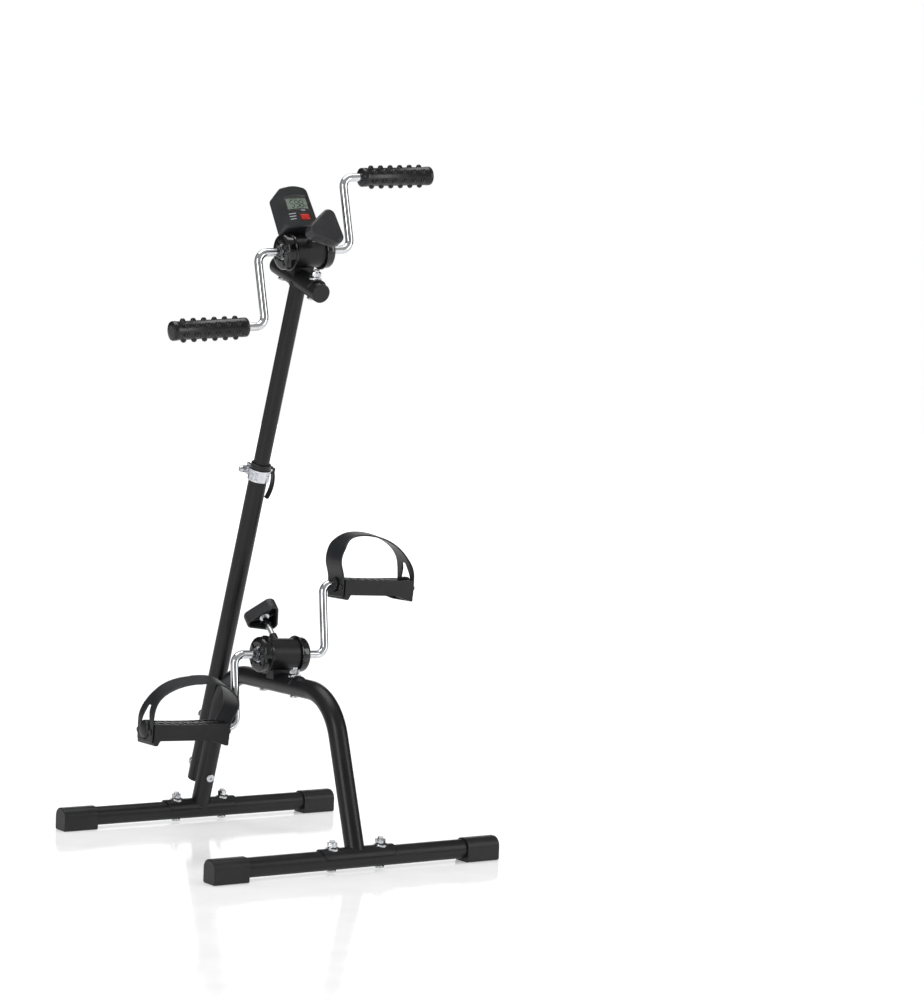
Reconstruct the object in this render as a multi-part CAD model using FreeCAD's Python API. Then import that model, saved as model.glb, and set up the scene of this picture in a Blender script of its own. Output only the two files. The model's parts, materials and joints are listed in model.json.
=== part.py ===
import FreeCAD, Part
import math
import os

# Arm and leg pedal exerciser: a bent tube frame on two floor bars, a leaning mast in two
# tubes with a quick-release clamp, and two identical crank hubs, one for the feet and one
# for the hands. Millimetres and degrees. X lies along the crank axles, the user sits on the
# -Y side, Z is up, and the origin is on the floor midway between the two floor bars.

# Clearances
SEAT_GAP = 0.05          # between faces that are bolted, pressed or welded together
RUN_GAP = 0.06           # radial clearance of a turning or sliding fit
SOFT_GAP = 0.3           # between moving or soft pieces and their neighbours
HOLE_GAP = 0.2           # radial clearance of a bolt in its hole
OVERRUN = 5.0            # how far a cut runs past the material

# Floor bars and bent frame tube
TUBE_RADIUS = 14.0
TUBE_WALL = 1.5
BAR_LENGTH = 465.0
BAR_SPACING = 458.0
BAR_HEIGHT = 18.4        # bar axis above the floor
LEAN = 19.0              # lean of both frame legs and of the mast
FRAME_TOP = 240.5        # axis height of the level top of the bent tube
FRAME_BEND = 85.0        # centre line radius of the two bends

# Saddle plates, curved over the tube that carries them
PLATE = 2.5
SADDLE_REACH = 78.0      # degrees each way from the top of the tube
SADDLE_CORNER = 9.0
FOOT_SADDLE = 120.0
FOOT_BOLTS = 80.0        # spacing of the two bolts in one floor bar

# Floor bar end caps
CAP_LENGTH = 55.0
CAP_END = 4.0
CAP_WIDTH = 32.8
CAP_TOP = 34.2
CAP_TOP_CORNER = 14.0
CAP_SOLE_CORNER = 3.5
CAP_EDGE = 1.6

# Bolts, nuts and washers
BOLT_RADIUS = 4.0
HEAD_RADIUS = 6.5
HEAD_HEIGHT = 2.6
HEAD_EDGE = 1.2
HEAD_SOCKET = 2.0
SOCKET_DEPTH = 1.5
NUT_ACROSS = 13.0
NUT_HEIGHT = 6.5
WASHER_RADIUS = 9.5
WASHER_THICK = 2.0
BOLT_STUB = 3.0          # thread showing past the nut

# Mast: a pinched lower tube bolted to the rear leg, and a sliding upper tube
MAST_OFFSET = 24.5       # mast axis behind the rear leg axis
MAST_START = 40.0        # lower end of the mast, measured along the leg from the bar axis
LOWER_MAST = 518.0
LOWER_WALL = 1.2
MAST_BOLTS = (19.5, 101.0)
MAST_SLIT = 45.0
SLIT_WIDTH = 3.0
UPPER_RADIUS = 12.0
UPPER_WALL = 1.2
UPPER_INSERT = 220.0     # length of the upper tube inside the lower one as shown
HEAD_AT = 815.0          # T bar axis above the lower end of the mast

# Bush between the two mast tubes
BUSH_DEPTH = 40.0
BUSH_FLANGE = 8.0
BUSH_FLANGE_RADIUS = 15.0
BUSH_EDGE = 1.0

# Quick-release clamp
BAND_HEIGHT = 17.5
BAND_THICK = 2.2
BAND_DROP = 1.0          # band top below the top of the lower tube
EAR_GAP = 8.0
EAR_THICK = 4.0
EAR_REACH = 27.0         # rear end of the ears from the mast axis
CLAMP_BOLT_AT = 20.5     # clamp bolt axis behind the mast axis
CLAMP_BOLT_RADIUS = 2.5
CLAMP_NUT_RADIUS = 5.6
CLAMP_NUT_LENGTH = 13.0
CLAMP_NUT_NOSE = 3.0
CLAMP_WASHER = 1.5
CLAMP_WASHER_RADIUS = 6.2
SLEEVE_LENGTH = 14.5
SLEEVE_RADIUS = 4.6
SLEEVE_FLANGE = 3.0
SLEEVE_FLANGE_RADIUS = 6.5
EYE_RADIUS = 4.4
EYE_WIDTH = 5.0
CAM_RADIUS = 6.0
CAM_OFFSET = 0.9
CHEEK = 2.4
PIN_RADIUS = 2.0
LEVER_LENGTH = 47.0
LEVER_THICK = 3.2
LEVER_WIDTH = 8.0
LEVER_BOW = 5.0
LEVER_STEP = 3.0         # handle stands out from the cam

# T bar on the mast top
T_BAR_LENGTH = 127.0
PLUG_HEAD = 3.5
PLUG_DEPTH = 10.0
PLUG_EDGE = 1.2
PLUG_RECESS = 6.8
PLUG_RECESS_DEPTH = 9.0

# Crank hub, the same for hands and feet
HUB_RADIUS = 24.0
HUB_WALL = 2.5
HUB_LENGTH = 68.0
HUB_WELD = 1.5           # weld seam between hub and saddle plate
HUB_SADDLE = 112.0
HUB_BOLTS = 88.0
WEB_LENGTH = 32.0
WEB_WIDTH = 20.0
BOSS_RADIUS = 6.0
BOSS_TOP = 38.0          # boss end from the hub axis
ARM_BOSS_SHIFT = -4.5    # boss along the hub from its middle
LEG_BOSS_SHIFT = -2.5
BOSS_ANGLE = 48.0        # boss from upright, towards the knob side

# Hub end caps
END_CAP_RADIUS = 26.0
END_CAP_LAP = 10.0       # lap over the hub tube
END_CAP_FACE = 5.5
END_CAP_EDGE = 2.0
END_CAP_RING_RADIUS = 28.0
END_CAP_RING = 3.0       # proud ring at the inner end
END_CAP_SLEEVE = 9.5
END_CAP_RECESS = 13.0
END_CAP_RECESS_DEPTH = 3.7
END_CAP_SLOT = 5.0
END_CAP_SLOT_END = 21.0
END_CAP_SLOT_DEPTH = 2.0
END_CAP_GROOVE = 1.6
END_CAP_GROOVE_DEPTH = 0.7
END_CAP_SLOTS = 4

# Inside the hub
DRUM_RADIUS = 17.5
DRUM_WIDTH = 28.0
DRUM_NECK = 11.0
DRUM_GAP = 0.5           # end play between drum and end cap sleeve
DRUM_WEB = 4.0           # solid middle between the two crank ends, each way
PAD_LENGTH = 9.0
PAD_GAP = 0.5            # pad clear of the drum with the knob slack

# Lock nuts on the crank ends
LOCK_ACROSS = 19.0
LOCK_HEX = 3.6
LOCK_FLANGE = 1.5
LOCK_FLANGE_RADIUS = 12.0

# Tension knob and its screw
SCREW_RADIUS = 4.0
SCREW_TOP = 84.0         # screw end from the hub axis
KNOB_UNDER = 68.0        # knob rim from the hub axis
KNOB_HEIGHT = 21.0
KNOB_TIP = 29.0          # knob axis to a lobe tip
KNOB_LOBE = 10.5
KNOB_EDGE = 3.0
KNOB_WALL = 2.8
KNOB_POCKET = 15.0
KNOB_BOSS = 8.0
KNOB_HOLLOW = 9.0         # pocket round the screw collar
KNOB_RIB = 2.0
KNOB_RIBS = 6
ARM_KNOB_TURN = -22.0
LEG_KNOB_TURN = 8.0
COLLAR_RADIUS = 7.5
COLLAR_HEIGHT = 3.0

# Cranks
ROD_RADIUS = 6.0
ROD_BEND = 15.0
CRANK_RADIUS = 106.0
CRANK_CORNER = 77.5      # crank arm from the hub middle
ARM_PHASE = 27.1         # arm crank from upright in its hub, towards the rear
LEG_PHASE = 170.0        # leg crank the same way, hub turned round

# Hand grips
GRIP_START = 109.0
GRIP_END = 228.0
GRIP_RADIUS = 14.0
GRIP_WALL = 5.5          # closed end
GRIP_EDGE = 1.5
NUB_RADIUS = 3.6
NUB_RISE = 3.4           # nub top above the grip
NUB_PITCH = 8.8
NUB_RINGS = 11
NUBS = 8
NUB_START = 15.0         # first ring of nubs from the inner end

# Pedals
PEDAL_START = 103.0
PEDAL_LENGTH = 121.0
PEDAL_DEPTH = 50.0
PEDAL_RIM = 9.0          # side wall top above the spindle
PEDAL_SAG = 15.0         # side wall bottom below the spindle along the middle
PEDAL_FOOT = 23.0        # at the end towards +X
PEDAL_HEEL = 22.0        # at the other end
PEDAL_HEEL_LENGTH = 6.0
PEDAL_TAPER = 30.0
PEDAL_DIP = 1.6          # hollow of the side walls' top edge at its middle
PEDAL_DIP_RADIUS = 1100.0
PEDAL_WALL = 3.0
PEDAL_CORNER = 4.0
TREAD_DROP = 2.0
TREAD_THICK = 3.0
TREAD_BAR = 3.0
TREAD_BAR_LENGTH = 15.0
TREAD_BAR_RISE = 1.2
TREAD_BARS = 9
PEDAL_BOSS = 9.0
PEDAL_COLLAR = 10.0
PEDAL_COLLAR_REACH = 6.0
PEDAL_DOME = 13.0
PEDAL_DOME_REACH = 4.5
PEDAL_DOME_EDGE = 3.0
SPINDLE_SHORT = 5.0      # spindle end short of the pedal's outer end
PUSH_NUT_RADIUS = 9.5
PUSH_NUT_THICK = 1.2
LUG_RADIUS = 2.4
LUG_HEAD = 4.0
LUG_HEAD_THICK = 1.6
LUG_SPREAD = 17.5
LUG_DROP = 3.0

# Foot straps
STRAP_THICK = 2.5
STRAP_WIDE = 46.0
STRAP_NARROW = 30.0
STRAP_RISE = 76.0        # top of the arch above the spindle
STRAP_TAIL = 19.0        # strap end below the spindle
STRAP_FLARE = 22.0       # height up to which the strap keeps its full width
EYE_TOP = 35.0
EYE_TIP = 4.5
HOLE_RADIUS = 1.8
HOLE_PITCH = 9.0
HOLES = 3

# Monitor on the arm hub
MONITOR_ANGLE = 49.0     # monitor from the hub's upright, towards the rear
MONITOR_SHIFT = -6.3     # middle of the case along the hub
MONITOR_HEIGHT = 69.0
MONITOR_CROWN = 3.0      # rise of the arched top
MONITOR_CROWN_RADIUS = 55.0
MONITOR_TOP_WIDTH = 49.0
MONITOR_FOOT_WIDTH = 54.0
MONITOR_DEPTH = 36.0
MONITOR_BULGE = 6.0      # how far the rounded front stands out
MONITOR_BACK = 3.0       # rear face behind the hub axis
MONITOR_SINK = 1.5       # case bottom below the top of the hub
MONITOR_CORNER = 8.0
MONITOR_EDGE = 2.0
MONITOR_WALL = 2.0
MONITOR_SHELL = 13.0     # depth of the rear half
LENS_WIDTH = 39.0
LENS_HEIGHT = 27.0
LENS_CORNER = 4.0
LENS_THICK = 1.5
LENS_SINK = 0.4
LENS_DROP = 14.0         # window top below the case top
DISPLAY_WIDTH = 34.0
DISPLAY_HEIGHT = 19.0
DISPLAY_THICK = 2.0
DISPLAY_DROP = 19.5      # display top below the case top
BUTTON_WIDTH = 14.0
BUTTON_HEIGHT = 9.0
BUTTON_LENGTH = 8.0
BUTTON_STAND = 1.6       # button face in front of the case
BUTTON_CORNER = 2.0
BUTTON_SHIFT = 5.0
BUTTON_DROP = 53.5       # button middle below the case top
BOARD_THICK = 1.6
BOARD_BORDER = 5.0
POST_RADIUS = 2.0
POST_INSET = 3.0         # post from the board edge
CELL_RADIUS = 5.2
CELL_LENGTH = 34.0

# Places of the two hubs
LEG_HUB_AT = -2.5        # leg hub along Y
LEG_TILT = 2.0           # each hub is welded a little out of level
ARM_HUB_AT = 1.7         # arm hub along the T bar
ARM_TILT = 4.9

# Worked out from the sizes above
V = FreeCAD.Vector
ORIGIN = V(0, 0, 0)
ALONG_X = V(1, 0, 0)
ALONG_Y = V(0, 1, 0)
ALONG_Z = V(0, 0, 1)
SADDLE_INNER = TUBE_RADIUS + SEAT_GAP
SADDLE_OUTER = SADDLE_INNER + PLATE
HUB_RISE = SADDLE_OUTER + HUB_WELD + HUB_RADIUS
END_CAP_LENGTH = END_CAP_LAP + END_CAP_FACE
CAP_INNER_END = HUB_LENGTH / 2 - END_CAP_LAP
HUB_FACE = HUB_LENGTH / 2 + END_CAP_FACE
CRANK_INNER_END = DRUM_WEB
SPINDLE_REACH = PEDAL_LENGTH - SPINDLE_SHORT
LEVER_PIN_AT = EAR_GAP / 2 + EAR_THICK + SLEEVE_LENGTH + SOFT_GAP + CAM_RADIUS + CAM_OFFSET


def turn(axis, angle):
    return FreeCAD.Placement(ORIGIN, FreeCAD.Rotation(axis, angle))


def shift(x, y, z):
    return FreeCAD.Placement(V(x, y, z), FreeCAD.Rotation())


def placed(shape, placement):
    moved = shape.copy()
    moved.Placement = placement.multiply(shape.Placement)
    return moved


def rod_x(radius, start, end):
    return Part.makeCylinder(radius, end - start, V(start, 0, 0), ALONG_X)


def rod_y(radius, start, end):
    return Part.makeCylinder(radius, end - start, V(0, start, 0), ALONG_Y)


def rod_z(radius, start, end):
    return Part.makeCylinder(radius, end - start, V(0, 0, start), ALONG_Z)


def tube_z(outer, inner, start, end):
    return rod_z(outer, start, end).cut(rod_z(inner, start - OVERRUN, end + OVERRUN))


def block(x_low, x_high, y_low, y_high, z_low, z_high):
    return Part.makeBox(x_high - x_low, y_high - y_low, z_high - z_low, V(x_low, y_low, z_low))


def hexagon(across, start, end):
    corner = across / math.sqrt(3)
    points = [V(corner * math.cos(math.radians(60 * i)), corner * math.sin(math.radians(60 * i)), start)
              for i in range(7)]
    return Part.Face(Part.makePolygon(points)).extrude(V(0, 0, end - start))


def corner_arc(before, corner, after, radius):
    """Start, middle and end of the arc that rounds one corner of a path."""
    to_before = (before - corner).normalize()
    to_after = (after - corner).normalize()
    half = to_before.getAngle(to_after) / 2
    reach = radius / math.tan(half)
    bisector = (to_before + to_after).normalize()
    centre = corner + bisector * (radius / math.sin(half))
    return corner + to_before * reach, centre - bisector * radius, corner + to_after * reach


def bent_path(points, radius):
    """Wire of straight runs joined by tangent arcs of one radius."""
    edges = []
    at = points[0]
    for before, corner, after in zip(points, points[1:], points[2:]):
        start, middle, end = corner_arc(before, corner, after, radius)
        edges.append(Part.LineSegment(at, start).toShape())
        edges.append(Part.Arc(start, middle, end).toShape())
        at = end
    edges.append(Part.LineSegment(at, points[-1]).toShape())
    return Part.Wire(edges)


def bent_rod(points, bend, radius):
    start = points[0]
    circle = Part.Wire(Part.Circle(start, points[1] - start, radius).toShape())
    return bent_path(points, bend).makePipeShell([circle], True, False)


def rounded_face(corners):
    """Face in the XY plane from corner points given as (x, y, rounding radius)."""
    edges = []
    points = [V(x, y, 0) for x, y, radius in corners]
    arcs = []
    for i, (x, y, radius) in enumerate(corners):
        before = points[i - 1]
        after = points[(i + 1) % len(points)]
        sharp = (points[i], None, points[i])
        arcs.append(corner_arc(before, points[i], after, radius) if radius else sharp)
    for i, (start, middle, end) in enumerate(arcs):
        if middle:
            edges.append(Part.Arc(start, middle, end).toShape())
        following = arcs[(i + 1) % len(arcs)][0]
        if (following - end).Length > SEAT_GAP:
            edges.append(Part.LineSegment(end, following).toShape())
    return Part.Face(Part.Wire(edges))


def rounded_slab(width, depth, start, end, radius):
    """Block centred on Z with its four upright edges rounded."""
    x, y = width / 2, depth / 2
    face = rounded_face([(-x, -y, radius), (x, -y, radius), (x, y, radius), (-x, y, radius)])
    return placed(face.extrude(V(0, 0, end - start)), shift(0, 0, start))


def edges_near_plane(shape, normal, distance):
    """Edges of a shape that lie in one plane, for rounding."""
    chosen = []
    for edge in shape.Edges:
        box = edge.BoundBox
        low = V(box.XMin, box.YMin, box.ZMin).dot(normal)
        high = V(box.XMax, box.YMax, box.ZMax).dot(normal)
        if abs(low - distance) < SEAT_GAP and abs(high - distance) < SEAT_GAP:
            chosen.append(edge)
    return chosen


def mirror_y(shape):
    return shape.mirror(ORIGIN, ALONG_Y)


def group(shapes):
    return Part.makeCompound(shapes)


def saddle_plate(length):
    """Plate curved over a tube that lies along X, with its corners rounded."""
    shell = rod_x(SADDLE_OUTER, -length / 2, length / 2).cut(
        rod_x(SADDLE_INNER, -length / 2 - OVERRUN, length / 2 + OVERRUN))
    sill = SADDLE_OUTER * math.cos(math.radians(SADDLE_REACH))
    plan = rounded_slab(length, 2 * SADDLE_OUTER, sill, SADDLE_OUTER + OVERRUN, SADDLE_CORNER)
    return shell.common(plan)


def bolt_hole(low, high):
    return rod_z(BOLT_RADIUS + HOLE_GAP, low, high)


def bolt(low, high):
    """Bolt along Z whose head seats at low and whose washer seats at high."""
    head = rod_z(HEAD_RADIUS, low - HEAD_HEIGHT, low - SEAT_GAP)
    rim = edges_near_plane(head, ALONG_Z, low - HEAD_HEIGHT)
    head = head.makeFillet(HEAD_EDGE, rim)
    socket = hexagon(2 * HEAD_SOCKET, low - HEAD_HEIGHT - OVERRUN, low - HEAD_HEIGHT + SOCKET_DEPTH)
    top = high + WASHER_THICK + NUT_HEIGHT + BOLT_STUB
    return head.fuse(rod_z(BOLT_RADIUS, low - HEAD_HEIGHT / 2, top)).cut(socket).removeSplitter()


def nut(seat):
    """Hexagon nut with its lower face just clear of the washer."""
    low = seat + WASHER_THICK + SEAT_GAP
    body = hexagon(NUT_ACROSS, low, low + NUT_HEIGHT)
    cone_low = NUT_ACROSS / 2 + NUT_HEIGHT
    chamfer = Part.makeCone(cone_low, NUT_ACROSS / 2, NUT_HEIGHT, V(0, 0, low), ALONG_Z)
    bore = rod_z(BOLT_RADIUS + SEAT_GAP, low - OVERRUN, low + NUT_HEIGHT + OVERRUN)
    return body.common(chamfer).cut(bore)


def washer(seat):
    """Round washer curved over a tube along X whose surface is at radius seat."""
    disc = rod_z(WASHER_RADIUS, 0, seat + OVERRUN).cut(bolt_hole(-OVERRUN, seat + 2 * OVERRUN))
    ring = rod_x(seat + WASHER_THICK, -WASHER_RADIUS, WASHER_RADIUS).cut(
        rod_x(seat + SEAT_GAP, -WASHER_RADIUS - OVERRUN, WASHER_RADIUS + OVERRUN))
    return disc.common(ring)


def mast_frame():
    """Placement of the mast: its axis along local Z, local Y to the rear."""
    leg_foot = shift(0, BAR_SPACING / 2, BAR_HEIGHT)
    lean = turn(ALONG_X, LEAN)
    return leg_foot.multiply(lean).multiply(shift(0, MAST_OFFSET, MAST_START))


def leg_seat():
    """Place of the leg hub's saddle: origin on the frame tube axis, turned to face the rear."""
    return shift(0, LEG_HUB_AT, FRAME_TOP).multiply(turn(ALONG_Z, 180))


def arm_seat():
    """Place of the arm hub's saddle: origin on the T bar axis."""
    return mast_frame().multiply(shift(0, ARM_HUB_AT, HEAD_AT))


def leg_hub():
    """Leg hub: origin at its middle, X along the axle, Z away from the saddle."""
    return leg_seat().multiply(shift(0, 0, HUB_RISE)).multiply(turn(ALONG_Y, -LEG_TILT))


def arm_hub():
    """Arm hub: origin at its middle, X along the axle, Z away from the saddle."""
    return arm_seat().multiply(shift(0, 0, HUB_RISE)).multiply(turn(ALONG_Y, -ARM_TILT))


def foot_bolt_frames():
    """Origins on the floor bar axes, Z along each bolt, X along the bar."""
    return [shift(side * FOOT_BOLTS / 2, end * BAR_SPACING / 2, BAR_HEIGHT)
            for end in (-1, 1) for side in (-1, 1)]


def hub_bolt_frames(seat):
    """Origins on the carrying tube axis, Z along each hub bolt, X along the tube."""
    across = turn(ALONG_Z, 90)
    return [seat.multiply(shift(0, side * HUB_BOLTS / 2, 0)).multiply(across) for side in (-1, 1)]


def mast_bolt_frames():
    """Origins on the mast axis, Z along each bolt to the rear, X up the mast."""
    across = FreeCAD.Placement(ORIGIN, FreeCAD.Rotation(ALONG_Z, ALONG_X, ALONG_Y, "ZXY"))
    return [mast_frame().multiply(shift(0, 0, at)).multiply(across) for at in MAST_BOLTS]


def floor_bar(end):
    bar = rod_x(TUBE_RADIUS, -BAR_LENGTH / 2, BAR_LENGTH / 2).cut(
        rod_x(TUBE_RADIUS - TUBE_WALL, -BAR_LENGTH / 2 - OVERRUN, BAR_LENGTH / 2 + OVERRUN))
    for side in (-1, 1):
        hole = bolt_hole(-TUBE_RADIUS - OVERRUN, TUBE_RADIUS + OVERRUN)
        hole = placed(hole, shift(side * FOOT_BOLTS / 2, 0, 0))
        bar = bar.cut(hole)
    return placed(bar, shift(0, end * BAR_SPACING / 2, BAR_HEIGHT))


def foot_cap(side, end):
    """Cap over a bar end, flat underneath, where the exerciser stands."""
    half = CAP_WIDTH / 2
    outline = rounded_face([(-half, 0, CAP_SOLE_CORNER), (half, 0, CAP_SOLE_CORNER),
                            (half, CAP_TOP, CAP_TOP_CORNER), (-half, CAP_TOP, CAP_TOP_CORNER)])
    body = outline.extrude(V(0, 0, CAP_LENGTH))
    body = body.makeFillet(CAP_EDGE, edges_near_plane(body, ALONG_Z, CAP_LENGTH))
    bore = placed(rod_z(TUBE_RADIUS + SEAT_GAP, -OVERRUN, CAP_LENGTH - CAP_END), shift(0, BAR_HEIGHT, 0))
    body = body.cut(bore)
    upright = FreeCAD.Placement(ORIGIN, FreeCAD.Rotation(ALONG_Y, ALONG_Z, ALONG_X, "ZXY"))
    start = BAR_LENGTH / 2 + CAP_END - CAP_LENGTH
    turned = turn(ALONG_Z, 0 if side > 0 else 180)
    at = shift(0, end * BAR_SPACING / 2, 0).multiply(turned).multiply(shift(start, 0, 0))
    return placed(body, at.multiply(upright))


def frame_path():
    run = (FRAME_TOP - BAR_HEIGHT) * math.tan(math.radians(LEAN))
    corner = BAR_SPACING / 2 - run
    return [V(0, -BAR_SPACING / 2, BAR_HEIGHT), V(0, -corner, FRAME_TOP),
            V(0, corner, FRAME_TOP), V(0, BAR_SPACING / 2, BAR_HEIGHT)]


def frame_tube():
    """Bent tube with its two foot saddles welded on."""
    frame = bent_rod(frame_path(), FRAME_BEND, TUBE_RADIUS)
    bore = bent_rod(frame_path(), FRAME_BEND, TUBE_RADIUS - TUBE_WALL)
    for end in (-1, 1):
        at = shift(0, end * BAR_SPACING / 2, BAR_HEIGHT)
        frame = frame.fuse(placed(saddle_plate(FOOT_SADDLE), at))
        frame = frame.cut(placed(rod_x(SADDLE_INNER, -FOOT_SADDLE, FOOT_SADDLE), at))
    below = block(-FOOT_SADDLE, FOOT_SADDLE, -BAR_SPACING, BAR_SPACING, -OVERRUN, BAR_HEIGHT)
    frame = frame.cut(below).cut(bore)
    for bolt_frame in foot_bolt_frames():
        frame = frame.cut(placed(bolt_hole(0, SADDLE_OUTER + OVERRUN), bolt_frame))
    for bolt_frame in hub_bolt_frames(leg_seat()):
        frame = frame.cut(placed(bolt_hole(-TUBE_RADIUS - OVERRUN, TUBE_RADIUS + OVERRUN), bolt_frame))
    front = -MAST_OFFSET - TUBE_RADIUS - OVERRUN
    for bolt_frame in mast_bolt_frames():
        frame = frame.cut(placed(bolt_hole(front, 0), bolt_frame))
    return frame.removeSplitter()


def lower_mast():
    """Lower tube, pinched to a crescent where it nests on the rear leg."""
    tube = rod_z(TUBE_RADIUS, 0, LOWER_MAST)
    bore = rod_z(TUBE_RADIUS - LOWER_WALL, -OVERRUN, LOWER_MAST + OVERRUN)
    to_mast = mast_frame().inverse()
    leg = placed(bent_rod(frame_path(), FRAME_BEND, TUBE_RADIUS + SEAT_GAP), to_mast)
    pinch = placed(bent_rod(frame_path(), FRAME_BEND, TUBE_RADIUS + SEAT_GAP + LOWER_WALL), to_mast)
    mast = tube.cut(leg).cut(bore.cut(pinch))
    slit = block(-SLIT_WIDTH / 2, SLIT_WIDTH / 2, 0, TUBE_RADIUS + OVERRUN,
                 LOWER_MAST - MAST_SLIT, LOWER_MAST + OVERRUN)
    mast = placed(mast.cut(slit), mast_frame())
    for bolt_frame in mast_bolt_frames():
        mast = mast.cut(placed(bolt_hole(-MAST_OFFSET, TUBE_RADIUS + OVERRUN), bolt_frame))
    return mast


def clamp_height():
    return LOWER_MAST - BAND_DROP - BAND_HEIGHT / 2


def clamp_band():
    """Split band round the top of the lower tube, with two ears at the rear."""
    low = clamp_height() - BAND_HEIGHT / 2
    high = clamp_height() + BAND_HEIGHT / 2
    inner = TUBE_RADIUS + SEAT_GAP
    half = EAR_GAP / 2 + EAR_THICK
    band = rod_z(inner + BAND_THICK, low, high).fuse(block(-half, half, 0, EAR_REACH, low, high))
    band = band.cut(rod_z(inner, low - OVERRUN, high + OVERRUN))
    band = band.cut(block(-EAR_GAP / 2, EAR_GAP / 2, 0, EAR_REACH + OVERRUN, low - OVERRUN, high + OVERRUN))
    hole = rod_x(CLAMP_BOLT_RADIUS + HOLE_GAP, -half - OVERRUN, half + OVERRUN)
    band = band.cut(placed(hole, shift(0, CLAMP_BOLT_AT, clamp_height())))
    return placed(band, mast_frame())


def clamp_frame():
    return mast_frame().multiply(shift(0, CLAMP_BOLT_AT, clamp_height()))


def clamp_bolt():
    """Bolt along X with an eye for the lever pin."""
    start = -EAR_GAP / 2 - EAR_THICK - CLAMP_WASHER - CLAMP_NUT_LENGTH
    shank = rod_x(CLAMP_BOLT_RADIUS, start, LEVER_PIN_AT)
    eye = placed(rod_y(EYE_RADIUS, -EYE_WIDTH / 2, EYE_WIDTH / 2), shift(LEVER_PIN_AT, 0, 0))
    pin_hole = placed(rod_y(PIN_RADIUS + RUN_GAP, -EYE_WIDTH, EYE_WIDTH), shift(LEVER_PIN_AT, 0, 0))
    return placed(shank.fuse(eye).cut(pin_hole), clamp_frame())


def clamp_sleeve():
    """Sleeve between the ear and the lever cam, flanged where the cam bears."""
    start = EAR_GAP / 2 + EAR_THICK + SEAT_GAP
    end = EAR_GAP / 2 + EAR_THICK + SLEEVE_LENGTH
    sleeve = rod_x(SLEEVE_RADIUS, start, end).fuse(rod_x(SLEEVE_FLANGE_RADIUS, end - SLEEVE_FLANGE, end))
    return placed(sleeve.cut(rod_x(CLAMP_BOLT_RADIUS + SEAT_GAP, 0, end + OVERRUN)), clamp_frame())


def clamp_nut():
    """Round nut with a tapered nose, and the washer behind it."""
    face = -EAR_GAP / 2 - EAR_THICK - SEAT_GAP
    base = face - CLAMP_WASHER
    end = base - CLAMP_NUT_LENGTH + CLAMP_NUT_NOSE
    body = rod_x(CLAMP_NUT_RADIUS, end, base)
    nose_end = CLAMP_BOLT_RADIUS + PLATE / 2
    nose = Part.makeCone(CLAMP_NUT_RADIUS, nose_end, CLAMP_NUT_NOSE, V(end, 0, 0), -ALONG_X)
    collar = rod_x(CLAMP_WASHER_RADIUS, base, face)
    solid = body.fuse(nose).fuse(collar)
    bore = rod_x(CLAMP_BOLT_RADIUS + SEAT_GAP, end - 2 * CLAMP_NUT_NOSE, 0)
    return placed(solid.cut(bore), clamp_frame())


def lever_pin():
    half = EYE_WIDTH / 2 + SOFT_GAP + CHEEK
    pin = placed(rod_y(PIN_RADIUS, -half, half), shift(LEVER_PIN_AT, 0, 0))
    return placed(pin, clamp_frame())


def clamp_lever():
    """Cam lever: two cheeks on the pin and a bowed handle hanging down."""
    inner = EYE_WIDTH / 2 + SOFT_GAP
    outer = inner + CHEEK
    cam = placed(rod_y(CAM_RADIUS, -outer, outer), shift(-CAM_OFFSET, 0, 0))
    slot = block(-2 * CAM_RADIUS, 3 * CAM_RADIUS, -inner, inner, -EYE_RADIUS - SOFT_GAP, 2 * CAM_RADIUS)
    radius = (LEVER_LENGTH ** 2 / 4 + LEVER_BOW ** 2) / (2 * LEVER_BOW)
    outside = CAM_RADIUS - CAM_OFFSET + LEVER_STEP
    centre = V(outside - radius + LEVER_BOW / 2, 0, -LEVER_LENGTH / 2)
    ring = Part.makeCylinder(radius, LEVER_WIDTH, centre - V(0, LEVER_WIDTH / 2, 0), ALONG_Y)
    ring = ring.cut(Part.makeCylinder(radius - LEVER_THICK, LEVER_WIDTH + 2 * OVERRUN,
                                      centre - V(0, LEVER_WIDTH / 2 + OVERRUN, 0), ALONG_Y))
    handle = ring.common(block(0, 3 * CAM_RADIUS, -LEVER_WIDTH, LEVER_WIDTH, -LEVER_LENGTH, CAM_RADIUS / 2))
    bridge = block(CAM_RADIUS / 2, outside - LEVER_THICK / 2, inner, outer, -CAM_RADIUS, CAM_RADIUS / 2)
    lever = cam.fuse(handle).fuse(bridge).fuse(mirror_y(bridge)).cut(slot)
    lever = lever.cut(rod_y(PIN_RADIUS + RUN_GAP, -outer - OVERRUN, outer + OVERRUN))
    return placed(lever.removeSplitter(), clamp_frame().multiply(shift(LEVER_PIN_AT, 0, 0)))


def mast_bush():
    """Plastic sleeve in the mouth of the lower tube, flanged on its end."""
    inner = UPPER_RADIUS + RUN_GAP
    sleeve = rod_z(TUBE_RADIUS - LOWER_WALL - RUN_GAP, LOWER_MAST - BUSH_DEPTH, LOWER_MAST + BUSH_FLANGE)
    flange = rod_z(BUSH_FLANGE_RADIUS, LOWER_MAST + SEAT_GAP, LOWER_MAST + BUSH_FLANGE)
    flange = flange.makeFillet(BUSH_EDGE, edges_near_plane(flange, ALONG_Z, LOWER_MAST + BUSH_FLANGE))
    bore = rod_z(inner, LOWER_MAST - BUSH_DEPTH - OVERRUN, LOWER_MAST + BUSH_FLANGE + OVERRUN)
    return placed(sleeve.fuse(flange).cut(bore), mast_frame())


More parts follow.
